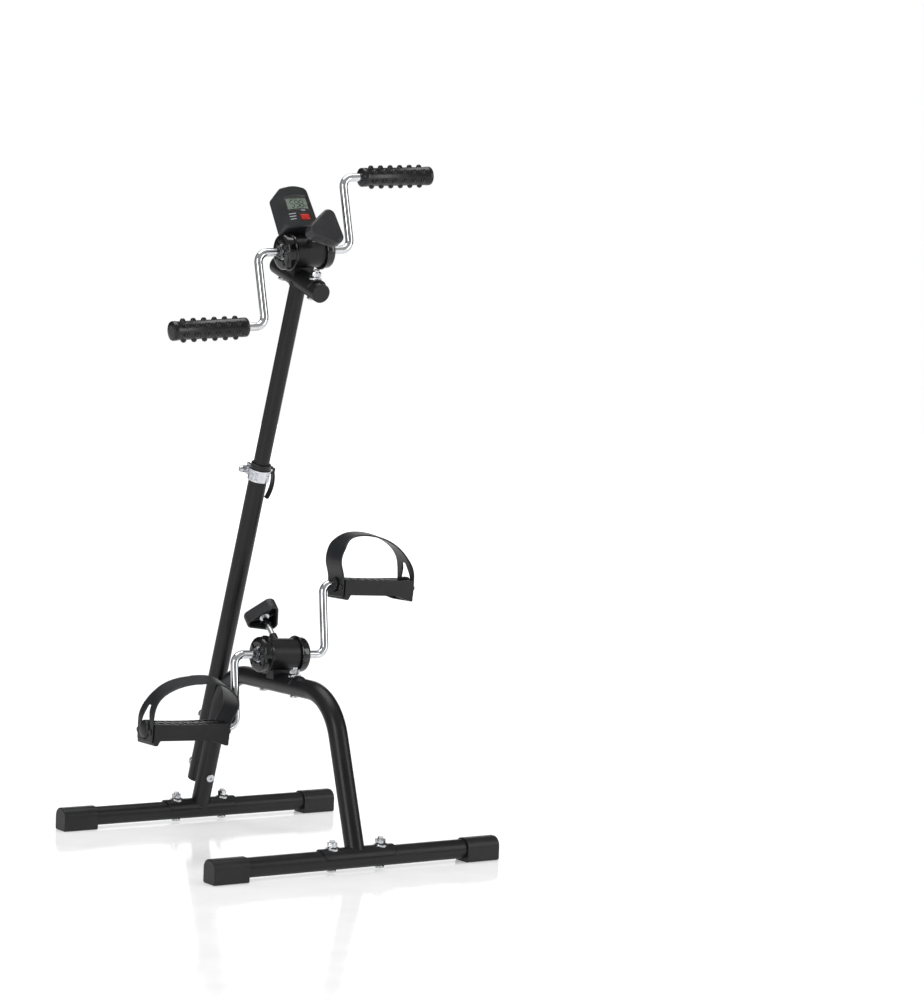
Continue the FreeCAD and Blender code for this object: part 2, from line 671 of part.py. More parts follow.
def upper_mast():
    """Upper tube with the T bar welded across its top."""
    tube = rod_z(UPPER_RADIUS, LOWER_MAST - UPPER_INSERT, HEAD_AT)
    bore = rod_z(UPPER_RADIUS - UPPER_WALL, LOWER_MAST - UPPER_INSERT - OVERRUN, HEAD_AT)
    at_head = shift(0, 0, HEAD_AT)
    bar = placed(rod_y(TUBE_RADIUS, -T_BAR_LENGTH / 2, T_BAR_LENGTH / 2), at_head)
    bar_bore = placed(rod_y(TUBE_RADIUS - TUBE_WALL, -T_BAR_LENGTH, T_BAR_LENGTH), at_head)
    head = tube.cut(bore).fuse(bar).cut(bar_bore)
    head = placed(head, mast_frame())
    for bolt_frame in hub_bolt_frames(arm_seat()):
        head = head.cut(placed(bolt_hole(-TUBE_RADIUS - OVERRUN, TUBE_RADIUS + OVERRUN), bolt_frame))
    return head


def t_bar_plug(side, recessed):
    """Plug in one end of the T bar, with a plain or a recessed face."""
    face = T_BAR_LENGTH / 2 + PLUG_HEAD
    head = rod_y(TUBE_RADIUS, T_BAR_LENGTH / 2 + SEAT_GAP, face)
    head = head.makeFillet(PLUG_EDGE, edges_near_plane(head, ALONG_Y, face))
    stem_start = T_BAR_LENGTH / 2 - PLUG_DEPTH
    plug = head.fuse(rod_y(TUBE_RADIUS - TUBE_WALL - SEAT_GAP, stem_start, face - PLUG_EDGE))
    if recessed:
        mouth = placed(hexagon(2 * PLUG_RECESS, 0, PLUG_RECESS_DEPTH + OVERRUN), turn(ALONG_X, -90))
        plug = plug.cut(placed(mouth, shift(0, face - PLUG_RECESS_DEPTH, 0)))
    turned = turn(ALONG_Z, 0 if side > 0 else 180)
    return placed(plug, mast_frame().multiply(shift(0, 0, HEAD_AT)).multiply(turned))


def boss_frame(hub, along):
    """Placement of the boss: origin on the hub axis, Z out along the boss."""
    return hub.multiply(shift(along, 0, 0)).multiply(turn(ALONG_X, BOSS_ANGLE))


def hub_shell(seat, hub, boss_shift):
    """Hub tube welded on its saddle plate, with the boss for the tension screw."""
    boss_at = boss_frame(hub, boss_shift)
    tube = placed(rod_x(HUB_RADIUS, -HUB_LENGTH / 2, HUB_LENGTH / 2), hub)
    plate = placed(saddle_plate(HUB_SADDLE), seat.multiply(turn(ALONG_Z, 90)))
    web = block(-WEB_LENGTH / 2, WEB_LENGTH / 2, -WEB_WIDTH / 2, WEB_WIDTH / 2,
                SADDLE_INNER / 2, HUB_RISE - HUB_RADIUS / 2)
    boss = placed(rod_z(BOSS_RADIUS, HUB_RADIUS - HUB_WALL, BOSS_TOP), boss_at)
    shell = tube.fuse(plate).fuse(placed(web, seat)).fuse(boss)
    shell = shell.cut(placed(rod_x(HUB_RADIUS - HUB_WALL, -HUB_LENGTH, HUB_LENGTH), hub))
    shell = shell.cut(placed(rod_y(SADDLE_INNER, -HUB_SADDLE, HUB_SADDLE), seat))
    shell = shell.cut(placed(rod_z(SCREW_RADIUS + RUN_GAP, 0, BOSS_TOP + OVERRUN), boss_at))
    for side in (-1, 1):
        hole = placed(bolt_hole(0, SADDLE_OUTER + OVERRUN), shift(0, side * HUB_BOLTS / 2, 0))
        shell = shell.cut(placed(hole, seat))
    return shell.removeSplitter()


def end_cap(side, hub):
    """Plastic cap over one hub end; its sleeve is the crank bearing."""
    body = rod_x(END_CAP_RADIUS, CAP_INNER_END, HUB_FACE)
    body = body.makeFillet(END_CAP_EDGE, edges_near_plane(body, ALONG_X, HUB_FACE))
    body = body.fuse(rod_x(END_CAP_RING_RADIUS, CAP_INNER_END, CAP_INNER_END + END_CAP_RING))
    body = body.cut(rod_x(HUB_RADIUS + SEAT_GAP, 0, HUB_LENGTH / 2))
    body = body.fuse(rod_x(END_CAP_SLEEVE, CAP_INNER_END, HUB_FACE - END_CAP_RECESS_DEPTH))
    body = body.cut(rod_x(END_CAP_RECESS, HUB_FACE - END_CAP_RECESS_DEPTH, HUB_FACE + OVERRUN))
    body = body.cut(rod_x(ROD_RADIUS + RUN_GAP, 0, HUB_FACE + OVERRUN))
    groove_at = HUB_LENGTH / 2 - END_CAP_LAP / 2
    ring = rod_x(END_CAP_RADIUS + OVERRUN, groove_at, groove_at + END_CAP_GROOVE)
    body = body.cut(ring.cut(rod_x(END_CAP_RADIUS - END_CAP_GROOVE_DEPTH, 0, HUB_FACE)))
    slot = block(HUB_FACE - END_CAP_SLOT_DEPTH, HUB_FACE + OVERRUN, 0, END_CAP_SLOT_END,
                 -END_CAP_SLOT / 2, END_CAP_SLOT / 2)
    for i in range(END_CAP_SLOTS):
        body = body.cut(placed(slot, turn(ALONG_X, 360 * (i + 0.5) / END_CAP_SLOTS)))
    turned = turn(ALONG_Z, 0 if side > 0 else 180)
    return placed(body, hub.multiply(turned))


def brake_drum(hub):
    """Drum on the crank ends, which the tension pad rubs on."""
    neck_end = CAP_INNER_END - DRUM_GAP
    drum = rod_x(DRUM_RADIUS, -DRUM_WIDTH / 2, DRUM_WIDTH / 2).fuse(rod_x(DRUM_NECK, -neck_end, neck_end))
    for side in (-1, 1):
        start, end = sorted((side * (CRANK_INNER_END - SEAT_GAP), side * (neck_end + OVERRUN)))
        drum = drum.cut(rod_x(ROD_RADIUS + SEAT_GAP, start, end))
    return placed(drum.removeSplitter(), hub)


def brake_pad(boss_at):
    """Pad in the boss, hollowed to the drum it presses on."""
    low = DRUM_RADIUS + PAD_GAP
    pad = rod_z(SCREW_RADIUS, 0, low + PAD_LENGTH).cut(rod_x(low, -DRUM_RADIUS, DRUM_RADIUS))
    return placed(pad, boss_at)


def knob_screw(boss_at):
    """Screw that presses the pad, with a collar under the knob."""
    low = DRUM_RADIUS + PAD_GAP + PAD_LENGTH + SOFT_GAP
    collar_top = KNOB_UNDER + KNOB_HEIGHT - KNOB_EDGE - KNOB_HOLLOW
    collar = rod_z(COLLAR_RADIUS, collar_top - COLLAR_HEIGHT, collar_top)
    screw = rod_z(SCREW_RADIUS, low, SCREW_TOP).fuse(collar)
    return placed(screw, boss_at)


def knob_outline(inset):
    """Rounded triangle of the knob, drawn in by an inset."""
    corners = []
    for i in range(3):
        angle = math.radians(90 + 120 * i)
        reach = KNOB_TIP + KNOB_LOBE - 2 * inset
        corners.append((reach * math.cos(angle), reach * math.sin(angle), KNOB_LOBE - inset))
    return rounded_face(corners)


def tension_knob(boss_at, angle):
    """Three-lobed knob, hollow and ribbed underneath."""
    body = knob_outline(0).extrude(V(0, 0, KNOB_HEIGHT))
    body = body.makeFillet(KNOB_EDGE, edges_near_plane(body, ALONG_Z, KNOB_HEIGHT))
    pocket = placed(knob_outline(KNOB_WALL).extrude(V(0, 0, KNOB_POCKET + OVERRUN)), shift(0, 0, -OVERRUN))
    pocket_top = KNOB_HEIGHT - KNOB_EDGE
    web = rod_z(KNOB_BOSS, pocket_top - KNOB_HOLLOW + SEAT_GAP, pocket_top)
    rib = block(0, KNOB_TIP, -KNOB_RIB / 2, KNOB_RIB / 2, KNOB_RIB, pocket_top)
    for i in range(KNOB_RIBS):
        web = web.fuse(placed(rib, turn(ALONG_Z, 90 + 360 * i / KNOB_RIBS)))
    core = rod_z(COLLAR_RADIUS + SOFT_GAP, -OVERRUN, pocket_top - KNOB_HOLLOW + SEAT_GAP)
    body = body.cut(pocket.cut(web.common(knob_outline(0).extrude(V(0, 0, KNOB_HEIGHT))))).cut(core)
    body = body.cut(rod_z(SCREW_RADIUS + SEAT_GAP, -OVERRUN, SCREW_TOP - KNOB_UNDER + SEAT_GAP))
    at = boss_at.multiply(shift(0, 0, KNOB_UNDER)).multiply(turn(ALONG_Z, angle))
    return placed(body.removeSplitter(), at)


def crank_frame(hub, side, phase):
    """Placement of one crank: X out along the axle, Z along the crank arm."""
    turned = turn(ALONG_Z, 0 if side > 0 else 180)
    swing = turn(ALONG_X, -phase if side > 0 else phase + 180)
    return hub.multiply(turned).multiply(swing)


def crank(hub, side, phase, reach):
    """Bent rod from the drum, out through the cap, up the arm and out again."""
    points = [V(CRANK_INNER_END, 0, 0), V(CRANK_CORNER, 0, 0),
              V(CRANK_CORNER, 0, CRANK_RADIUS), V(reach, 0, CRANK_RADIUS)]
    return placed(bent_rod(points, ROD_BEND, ROD_RADIUS), crank_frame(hub, side, phase))


def lock_nut(hub, side, phase):
    """Flanged nut in the recess of the end cap."""
    floor = HUB_FACE - END_CAP_RECESS_DEPTH + SOFT_GAP
    flange = rod_z(LOCK_FLANGE_RADIUS, floor, floor + LOCK_FLANGE)
    body = flange.fuse(hexagon(LOCK_ACROSS, floor, floor + LOCK_FLANGE + LOCK_HEX))
    body = body.cut(rod_z(ROD_RADIUS + SEAT_GAP, 0, HUB_FACE + OVERRUN))
    return placed(body, crank_frame(hub, side, phase).multiply(turn(ALONG_Y, 90)))


def hand_grip(side):
    """Rubber grip with staggered rings of round nubs."""
    grip = rod_x(GRIP_RADIUS, GRIP_START, GRIP_END)
    rims = edges_near_plane(grip, ALONG_X, GRIP_END) + edges_near_plane(grip, ALONG_X, GRIP_START)
    grip = grip.makeFillet(GRIP_EDGE, rims)
    nubs = []
    for ring in range(NUB_RINGS):
        along = GRIP_START + NUB_START + ring * NUB_PITCH
        for i in range(NUBS):
            angle = math.radians(360 * (i + 0.5 * (ring % 2)) / NUBS)
            reach = GRIP_RADIUS + NUB_RISE - NUB_RADIUS
            centre = V(along, reach * math.cos(angle), reach * math.sin(angle))
            nubs.append(Part.makeSphere(NUB_RADIUS, centre))
    grip = grip.multiFuse(nubs)
    grip = grip.cut(rod_x(ROD_RADIUS + RUN_GAP, 0, GRIP_END - GRIP_WALL))
    return placed(grip, crank_frame(arm_hub(), side, ARM_PHASE).multiply(shift(0, 0, CRANK_RADIUS)))


def spindle_frame(side):
    return crank_frame(leg_hub(), side, LEG_PHASE).multiply(shift(PEDAL_START, 0, CRANK_RADIUS))


def pedal_frame(side):
    """Placement of a pedal: origin where the spindle enters, X out along it, Z up."""
    outward = leg_hub().Rotation.multVec(ALONG_X * side)
    return FreeCAD.Placement(spindle_frame(side).Base, FreeCAD.Rotation(outward, ORIGIN, ALONG_Z, "XZY"))


def pedal_side_face():
    """Outline of a pedal wall seen from the front, tapering down to one end."""
    length = PEDAL_LENGTH
    return [(0, PEDAL_RIM, PEDAL_CORNER / 2), (0, -PEDAL_HEEL, PEDAL_CORNER / 2),
            (PEDAL_HEEL_LENGTH, -PEDAL_HEEL, PEDAL_CORNER / 2),
            (PEDAL_HEEL_LENGTH + PEDAL_CORNER, -PEDAL_SAG, PEDAL_CORNER / 2),
            (length - PEDAL_TAPER, -PEDAL_SAG, 3 * PEDAL_CORNER),
            (length - PEDAL_CORNER, -PEDAL_FOOT, PEDAL_CORNER / 2),
            (length, -PEDAL_FOOT, PEDAL_CORNER / 2), (length, PEDAL_RIM, PEDAL_CORNER / 2),
            (length / 2, PEDAL_RIM - PEDAL_DIP, PEDAL_DIP_RADIUS)]


def pedal(side):
    """Moulded pedal: two bowed side walls, end plates, tread and spindle boss."""
    half = PEDAL_DEPTH / 2
    body = pedal_walls(side)
    tread_top = PEDAL_RIM - TREAD_DROP
    inside = block(PEDAL_WALL, PEDAL_LENGTH - PEDAL_WALL, -half + PEDAL_WALL, half - PEDAL_WALL,
                   -PEDAL_FOOT - OVERRUN, PEDAL_RIM + OVERRUN)
    tread = block(0, PEDAL_LENGTH, -half, half, tread_top - TREAD_THICK, tread_top)
    boss = rod_x(PEDAL_BOSS, 0, PEDAL_LENGTH)
    body = body.cut(inside.cut(tread.fuse(boss)))
    body = body.fuse(pedal_tread_bars(tread_top))
    body = body.fuse(rod_x(PEDAL_COLLAR, -PEDAL_COLLAR_REACH, PEDAL_WALL))
    dome = rod_x(PEDAL_DOME, 0, PEDAL_LENGTH + PEDAL_DOME_REACH)
    rim = edges_near_plane(dome, ALONG_X, PEDAL_LENGTH + PEDAL_DOME_REACH)
    dome = dome.makeFillet(PEDAL_DOME_EDGE, rim)
    outer_end = block(SPINDLE_REACH - PEDAL_WALL, 2 * PEDAL_LENGTH, -half, half, -half, half)
    body = body.fuse(dome.common(outer_end))
    body = body.fuse(pedal_lugs())
    body = body.cut(rod_x(ROD_RADIUS + RUN_GAP, -2 * PEDAL_COLLAR_REACH, SPINDLE_REACH + SOFT_GAP))
    pocket_start = SPINDLE_REACH - 2 * PUSH_NUT_THICK - SOFT_GAP
    pocket = rod_x(PUSH_NUT_RADIUS + SOFT_GAP, pocket_start, SPINDLE_REACH + SOFT_GAP)
    return placed(body.cut(pocket).removeSplitter(), pedal_frame(side))


def pedal_walls(side):
    """Block of the pedal before it is hollowed, its deeper taper towards +X on both."""
    half = PEDAL_DEPTH / 2
    face = rounded_face(pedal_side_face())
    body = placed(face.extrude(V(0, 0, PEDAL_DEPTH)), shift(0, half, 0).multiply(turn(ALONG_X, 90)))
    if side > 0:
        body = placed(body.mirror(ORIGIN, ALONG_X), shift(PEDAL_LENGTH, 0, 0))
    return body


def pedal_tread_bars(top):
    """Two rows of low grip bars along the tread."""
    bars = []
    row = (PEDAL_DEPTH - 2 * PEDAL_WALL) / 4
    half_bar, half_length = TREAD_BAR / 2, TREAD_BAR_LENGTH / 2
    pitch = PEDAL_LENGTH / (TREAD_BARS + 1)
    for i in range(TREAD_BARS):
        for side in (-1, 1):
            x = (i + 1) * pitch
            y = side * row
            bars.append(block(x - half_bar, x + half_bar, y - half_length, y + half_length,
                              top - TREAD_THICK / 2, top + TREAD_BAR_RISE))
    return group(bars)


def lug_places():
    """Where the strap buttons on: both ends of the pedal, front and rear."""
    return [(end, side * LUG_SPREAD) for end in (0, 1) for side in (-1, 1)]


def pedal_lugs():
    """Headed lugs on the end plates that hold the strap."""
    reach = SOFT_GAP + STRAP_THICK + SOFT_GAP
    lugs = []
    for end, across in lug_places():
        stem = rod_x(LUG_RADIUS, -PEDAL_WALL, reach + LUG_HEAD_THICK)
        lug = stem.fuse(rod_x(LUG_HEAD, reach, reach + LUG_HEAD_THICK))
        turned = turn(ALONG_Z, 0 if end else 180)
        lugs.append(placed(lug, shift(end * PEDAL_LENGTH, across, -LUG_DROP).multiply(turned)))
    return group(lugs)


def strap_line(offset, shares):
    """Spline of the strap seen from the front, moved out by an offset."""
    inner = -SOFT_GAP - STRAP_THICK / 2
    span = PEDAL_LENGTH - 2 * inner
    points = [V(inner + share_x * span, 0, share_z * STRAP_RISE) for share_x, share_z in shares]
    curve = Part.BSplineCurve()
    curve.interpolate(points, False)
    moved = []
    steps = 2 * len(points)
    for i in range(steps + 1):
        u = curve.FirstParameter + (curve.LastParameter - curve.FirstParameter) * i / steps
        along = curve.tangent(u)[0]
        moved.append(curve.value(u) + V(-along.z, 0, along.x) * offset)
    line = Part.BSplineCurve()
    line.interpolate(moved, False)
    return line.toShape(), moved[0], moved[-1]


def strap_band(shares):
    """Band of full width that follows the strap line, with straight tails."""
    outer, outer_start, outer_end = strap_line(STRAP_THICK / 2, shares)
    inner, inner_start, inner_end = strap_line(-STRAP_THICK / 2, shares)
    foot = [V(p.x, 0, -STRAP_TAIL) for p in (inner_start, outer_start, outer_end, inner_end)]
    runs = [(foot[0], inner_start), (inner_end, foot[3]), (foot[3], foot[2]),
            (foot[2], outer_end), (outer_start, foot[1]), (foot[1], foot[0])]
    edges = [Part.LineSegment(start, end).toShape() for start, end in runs] + [inner, outer]
    face = Part.Face(Part.Wire(Part.sortEdges(edges)[0]))
    return placed(face.extrude(V(0, STRAP_WIDE, 0)), shift(0, -STRAP_WIDE / 2, 0))


def side_face_solid(corners, start, end):
    """Outline in Y and Z, run along X between two places."""
    face = rounded_face(corners)
    upright = FreeCAD.Placement(ORIGIN, FreeCAD.Rotation(ALONG_Y, ALONG_Z, ALONG_X, "ZXY"))
    return placed(placed(face.extrude(V(0, 0, end - start)), upright), shift(start, 0, 0))


def foot_strap(side):
    """Moulded strap, wide at both ends and narrow over the foot, with an eye outside."""
    wide, narrow = STRAP_WIDE / 2, STRAP_NARROW / 2
    top = STRAP_RISE + OVERRUN
    shoulder = (STRAP_FLARE + STRAP_RISE) / 2
    outline = [(-wide, -STRAP_TAIL, SADDLE_CORNER / 2), (wide, -STRAP_TAIL, SADDLE_CORNER / 2),
               (wide, STRAP_FLARE, STRAP_FLARE), (narrow, shoulder, STRAP_FLARE), (narrow, top, 0),
               (-narrow, top, 0), (-narrow, shoulder, STRAP_FLARE), (-wide, STRAP_FLARE, STRAP_FLARE)]
    outline_solid = side_face_solid(outline, -PEDAL_LENGTH, 2 * PEDAL_LENGTH)
    strap = strap_band(STRAP_SHARES[side]).common(outline_solid)
    eye = PEDAL_DOME + SOFT_GAP
    slot = [(-eye, -eye, eye - SOFT_GAP), (eye, -eye, eye - SOFT_GAP), (eye, eye, eye),
            (EYE_TIP, EYE_TOP, EYE_TIP), (-EYE_TIP, EYE_TOP, EYE_TIP), (-eye, eye, eye)]
    strap = strap.cut(side_face_solid(slot, PEDAL_LENGTH / 2, 2 * PEDAL_LENGTH))
    strap = strap.cut(rod_x(PEDAL_COLLAR + SOFT_GAP, -PEDAL_LENGTH / 2, PEDAL_LENGTH / 2))
    for end, across in lug_places():
        hole = rod_x(LUG_RADIUS + SOFT_GAP, -PEDAL_LENGTH / 4, PEDAL_LENGTH / 4)
        strap = strap.cut(placed(hole, shift(end * PEDAL_LENGTH, across, -LUG_DROP)))
    for i in range(HOLES):
        hole = rod_x(HOLE_RADIUS, -PEDAL_LENGTH / 4, PEDAL_LENGTH / 4)
        strap = strap.cut(placed(hole, shift(0, 0, STRAP_FLARE + i * HOLE_PITCH)))
    return placed(strap, pedal_frame(side))


def push_nut(side):
    """Push-on nut that keeps the pedal on its spindle."""
    reach = PEDAL_START + SPINDLE_REACH - PUSH_NUT_THICK - SOFT_GAP
    ring = rod_x(PUSH_NUT_RADIUS, reach - PUSH_NUT_THICK / 2, reach + PUSH_NUT_THICK / 2)
    ring = ring.cut(rod_x(ROD_RADIUS + SEAT_GAP, 0, 2 * reach))
    return placed(ring, crank_frame(leg_hub(), side, LEG_PHASE).multiply(shift(0, 0, CRANK_RADIUS)))


def monitor_frame():
    """Placement of the monitor: Z up its case, -Y out of its face."""
    lean = arm_hub().multiply(shift(MONITOR_SHIFT, 0, 0)).multiply(turn(ALONG_X, -MONITOR_ANGLE))
    return lean.multiply(shift(0, 0, HUB_RADIUS - MONITOR_SINK))


def monitor_face(inset):
    """Tapered case outline with an arched top, drawn in by an inset."""
    top, foot = MONITOR_TOP_WIDTH / 2 - inset, MONITOR_FOOT_WIDTH / 2 - inset
    radius = MONITOR_CORNER - inset / 2
    shoulder = MONITOR_HEIGHT - MONITOR_CROWN - inset
    return rounded_face([(-foot, inset, radius), (foot, inset, radius), (top, shoulder, radius),
                         (0, MONITOR_HEIGHT - inset, MONITOR_CROWN_RADIUS), (-top, shoulder, radius)])


def monitor_slab(face, front, back):
    """An outline in front view, run between two depths (front is the lower Y)."""
    upright = FreeCAD.Placement(ORIGIN, FreeCAD.Rotation(ALONG_X, ALONG_Z, -ALONG_Y, "XZY"))
    return placed(placed(face.extrude(V(0, 0, back - front)), upright), shift(0, back, 0))


def monitor_front_y():
    return MONITOR_BACK - MONITOR_DEPTH


def parting_y():
    return MONITOR_BACK - MONITOR_SHELL


def rounded_front(depth):
    """Round bar whose front side is the bulged face, a depth below the surface."""
    half = MONITOR_FOOT_WIDTH / 2
    radius = (half ** 2 + MONITOR_BULGE ** 2) / (2 * MONITOR_BULGE)
    bar = rod_z(radius - depth, -MONITOR_HEIGHT, 2 * MONITOR_HEIGHT)
    return placed(bar, shift(0, monitor_front_y() + radius, 0))


def monitor_case():
    """Front half of the case, open behind, with the window and button openings."""
    front, back = monitor_front_y(), parting_y() - SEAT_GAP / 2
    body = monitor_slab(monitor_face(0), front - OVERRUN, back).common(rounded_front(0))
    rims = [edge for edge in body.Edges if edge.BoundBox.YMax < front + MONITOR_BULGE + OVERRUN / 2]
    body = body.makeFillet(MONITOR_EDGE, rims)
    hollow = monitor_slab(monitor_face(MONITOR_WALL), front, back + OVERRUN)
    body = body.cut(hollow.common(rounded_front(LENS_SINK + LENS_THICK + MONITOR_WALL)))
    recess = monitor_slab(lens_face(SEAT_GAP), front - OVERRUN, back)
    body = body.cut(recess.cut(rounded_front(LENS_SINK + LENS_THICK + SEAT_GAP)))
    body = body.cut(display_block(SEAT_GAP, front - OVERRUN, back + OVERRUN))
    body = body.cut(button_block(SOFT_GAP, front - OVERRUN, back + OVERRUN))
    body = body.fuse(board_posts())
    return placed(body.cut(hub_clearance()), monitor_frame())


def board_posts():
    """Four posts inside the front of the case that carry the board."""
    left, right, low, high = board_edges()
    start = monitor_front_y() + MONITOR_BULGE
    posts = []
    for x in (left + POST_INSET, right - POST_INSET):
        for z in (low + POST_INSET, high - POST_INSET):
            posts.append(placed(rod_y(POST_RADIUS, start, board_y() - SEAT_GAP), shift(x, 0, z)))
    return group(posts)


def board_edges():
    half = MONITOR_TOP_WIDTH / 2 - BOARD_BORDER
    return -half, half, MONITOR_WALL + BOARD_BORDER, MONITOR_HEIGHT - MONITOR_CROWN - BOARD_BORDER


def hub_clearance():
    """The hub tube and its end caps as the monitor sees them, a little larger."""
    tube = rod_x(HUB_RADIUS + SEAT_GAP, -HUB_LENGTH, HUB_LENGTH)
    cap = rod_x(END_CAP_RADIUS + SOFT_GAP, CAP_INNER_END - SOFT_GAP, HUB_LENGTH)
    ring_end = CAP_INNER_END + END_CAP_RING + SOFT_GAP
    cap = cap.fuse(rod_x(END_CAP_RING_RADIUS + SOFT_GAP, CAP_INNER_END - SOFT_GAP, ring_end))
    solid = tube.fuse(cap).fuse(cap.mirror(ORIGIN, ALONG_X))
    return placed(solid, shift(-MONITOR_SHIFT, 0, MONITOR_SINK - HUB_RADIUS))


def monitor_back():
    """Rear half of the case."""
    front, back = parting_y() + SEAT_GAP / 2, MONITOR_BACK
    body = monitor_slab(monitor_face(0), front, back)
    body = body.makeFillet(MONITOR_EDGE, edges_near_plane(body, ALONG_Y, back))
    body = body.cut(monitor_slab(monitor_face(MONITOR_WALL), front - OVERRUN, back - MONITOR_WALL))
    return placed(body.cut(hub_clearance()), monitor_frame())


def lens_face(gap):
    """Window outline in front view, grown by a gap."""
    half = LENS_WIDTH / 2 + gap
    high = MONITOR_HEIGHT - LENS_DROP + gap
    low = high - LENS_HEIGHT - 2 * gap
    shoulder = high - MONITOR_CROWN
    return rounded_face([(-half, low, LENS_CORNER), (half, low, LENS_CORNER), (half, shoulder, LENS_CORNER),
                         (0, high, MONITOR_CROWN_RADIUS), (-half, shoulder, LENS_CORNER)])


def display_block(gap, front, back):
    high = MONITOR_HEIGHT - DISPLAY_DROP + gap
    half = DISPLAY_WIDTH / 2 + gap
    return block(-half, half, front, back, high - DISPLAY_HEIGHT - 2 * gap, high)


def button_block(gap, front, back):
    slab = rounded_slab(BUTTON_WIDTH + 2 * gap, BUTTON_HEIGHT + 2 * gap, 0, back - front, BUTTON_CORNER)
    upright = FreeCAD.Placement(ORIGIN, FreeCAD.Rotation(ALONG_X, ALONG_Z, -ALONG_Y, "XZY"))
    return placed(placed(slab, upright), shift(BUTTON_SHIFT, back, MONITOR_HEIGHT - BUTTON_DROP))


def monitor_lens():
    front = monitor_front_y()
    slab = monitor_slab(lens_face(0), front, front + MONITOR_BULGE + LENS_SINK + LENS_THICK)
    lens = slab.common(rounded_front(LENS_SINK)).cut(rounded_front(LENS_SINK + LENS_THICK))
    return placed(lens, monitor_frame())


def display_front():
    """Front of the flat display: behind the window at the display's sides."""
    half = MONITOR_FOOT_WIDTH / 2
    radius = (half ** 2 + MONITOR_BULGE ** 2) / (2 * MONITOR_BULGE)
    inner = radius - LENS_SINK - LENS_THICK
    return monitor_front_y() + radius - math.sqrt(inner ** 2 - DISPLAY_WIDTH ** 2 / 4) + SEAT_GAP


def monitor_display():
    return placed(display_block(0, display_front(), display_front() + DISPLAY_THICK), monitor_frame())


def monitor_button():
    front = monitor_front_y() - BUTTON_STAND
    body = button_block(0, front, front + BUTTON_LENGTH)
    return placed(body, monitor_frame())


def board_y():
    """Front face of the board: behind the button at the end of its stroke."""
    return monitor_front_y() + BUTTON_LENGTH + BUTTON_STAND


def monitor_board():
    """Circuit board on the parting plane of the case."""
    left, right, low, high = board_edges()
    board = block(left, right, board_y(), board_y() + BOARD_THICK, low, high)
    return placed(board, monitor_frame())


def monitor_cell():
    """Battery cell behind the board."""
    at = shift(0, board_y() + BOARD_THICK + SEAT_GAP + CELL_RADIUS, (MONITOR_HEIGHT - CELL_LENGTH) / 2)
    return placed(rod_z(CELL_RADIUS, 0, CELL_LENGTH), monitor_frame().multiply(at))


# Strap centre line from its inner to its outer end, as shares of the strap's span and rise,
# for the right pedal (1) and for the left one (-1), which has slumped towards its crank
STRAP_SHARES = {
    1: ((0.0, 0.0), (-0.012, 0.2), (-0.05, 0.42), (-0.02, 0.70), (0.10, 0.93), (0.26, 1.0), (0.41, 0.995),
        (0.57, 0.945), (0.73, 0.84), (0.875, 0.66), (0.965, 0.44), (1.0, 0.2), (1.0, 0.0)),
    -1: ((0.0, 0.0), (-0.04, 0.2), (-0.11, 0.45), (-0.085, 0.66), (0.02, 0.85), (0.16, 0.94), (0.35, 0.96),
         (0.55, 0.92), (0.73, 0.83), (0.875, 0.66), (0.965, 0.44), (1.0, 0.2), (1.0, 0.0)),
}


def frame_nodes():
    nodes = {"frame_tube": frame_tube(), "lower_mast": lower_mast()}
    for end, end_name in ((-1, "front"), (1, "rear")):
        nodes["floor_bar_" + end_name] = floor_bar(end)
        for side, side_name in ((-1, "left"), (1, "right")):
            nodes["foot_cap_%s_%s" % (end_name, side_name)] = foot_cap(side, end)
    return nodes


def fastener_nodes():
    plain = foot_bolt_frames() + hub_bolt_frames(leg_seat())
    head = hub_bolt_frames(arm_seat())
    mast = mast_bolt_frames()
    front = -MAST_OFFSET - TUBE_RADIUS
    return {
        "frame_bolts": group([placed(bolt(-TUBE_RADIUS, SADDLE_OUTER), at) for at in plain]),
        "frame_washers": group([placed(washer(SADDLE_OUTER), at) for at in plain]),
        "frame_nuts": group([placed(nut(SADDLE_OUTER), at) for at in plain]
                            + [placed(nut(TUBE_RADIUS), at) for at in mast]),
        "mast_bolts": group([placed(bolt(front, TUBE_RADIUS), at) for at in mast]),
        "mast_washers": group([placed(washer(TUBE_RADIUS), at) for at in mast]),
        "head_bolts": group([placed(bolt(-TUBE_RADIUS, SADDLE_OUTER), at) for at in head]),
        "head_washers": group([placed(washer(SADDLE_OUTER), at) for at in head]),
        "head_nuts": group([placed(nut(SADDLE_OUTER), at) for at in head]),
    }


def mast_nodes():
    return {
        "clamp_band": clamp_band(),
        "clamp_bolt": clamp_bolt(),
        "clamp_sleeve": clamp_sleeve(),
        "clamp_nut": clamp_nut(),
        "clamp_pin": lever_pin(),
        "clamp_lever": clamp_lever(),
        "mast_bush": mast_bush(),
        "upper_mast": upper_mast(),
        "t_bar_cap": t_bar_plug(-1, False),
        "t_bar_plug": t_bar_plug(1, True),
    }


def hub_nodes(name, seat, hub, boss_shift, knob_turn, phase, reach):
    """One crank hub with its two cranks, drum, pad and knob."""
    right = 1 if name == "arm" else -1
    boss_at = boss_frame(hub, boss_shift)
    nodes = {
        name + "_hub": hub_shell(seat, hub, boss_shift),
        name + "_drum": brake_drum(hub),
        name + "_pad": brake_pad(boss_at),
        name + "_knob": tension_knob(boss_at, knob_turn),
        name + "_knob_screw": knob_screw(boss_at),
        name + "_lock_nuts": group([lock_nut(hub, side, phase) for side in (-1, 1)]),
    }
    for side, side_name in ((-right, "left"), (right, "right")):
        nodes["%s_end_cap_%s" % (name, side_name)] = end_cap(side, hub)
        nodes["%s_crank_%s" % (name, side_name)] = crank(hub, side, phase, reach)
    return nodes


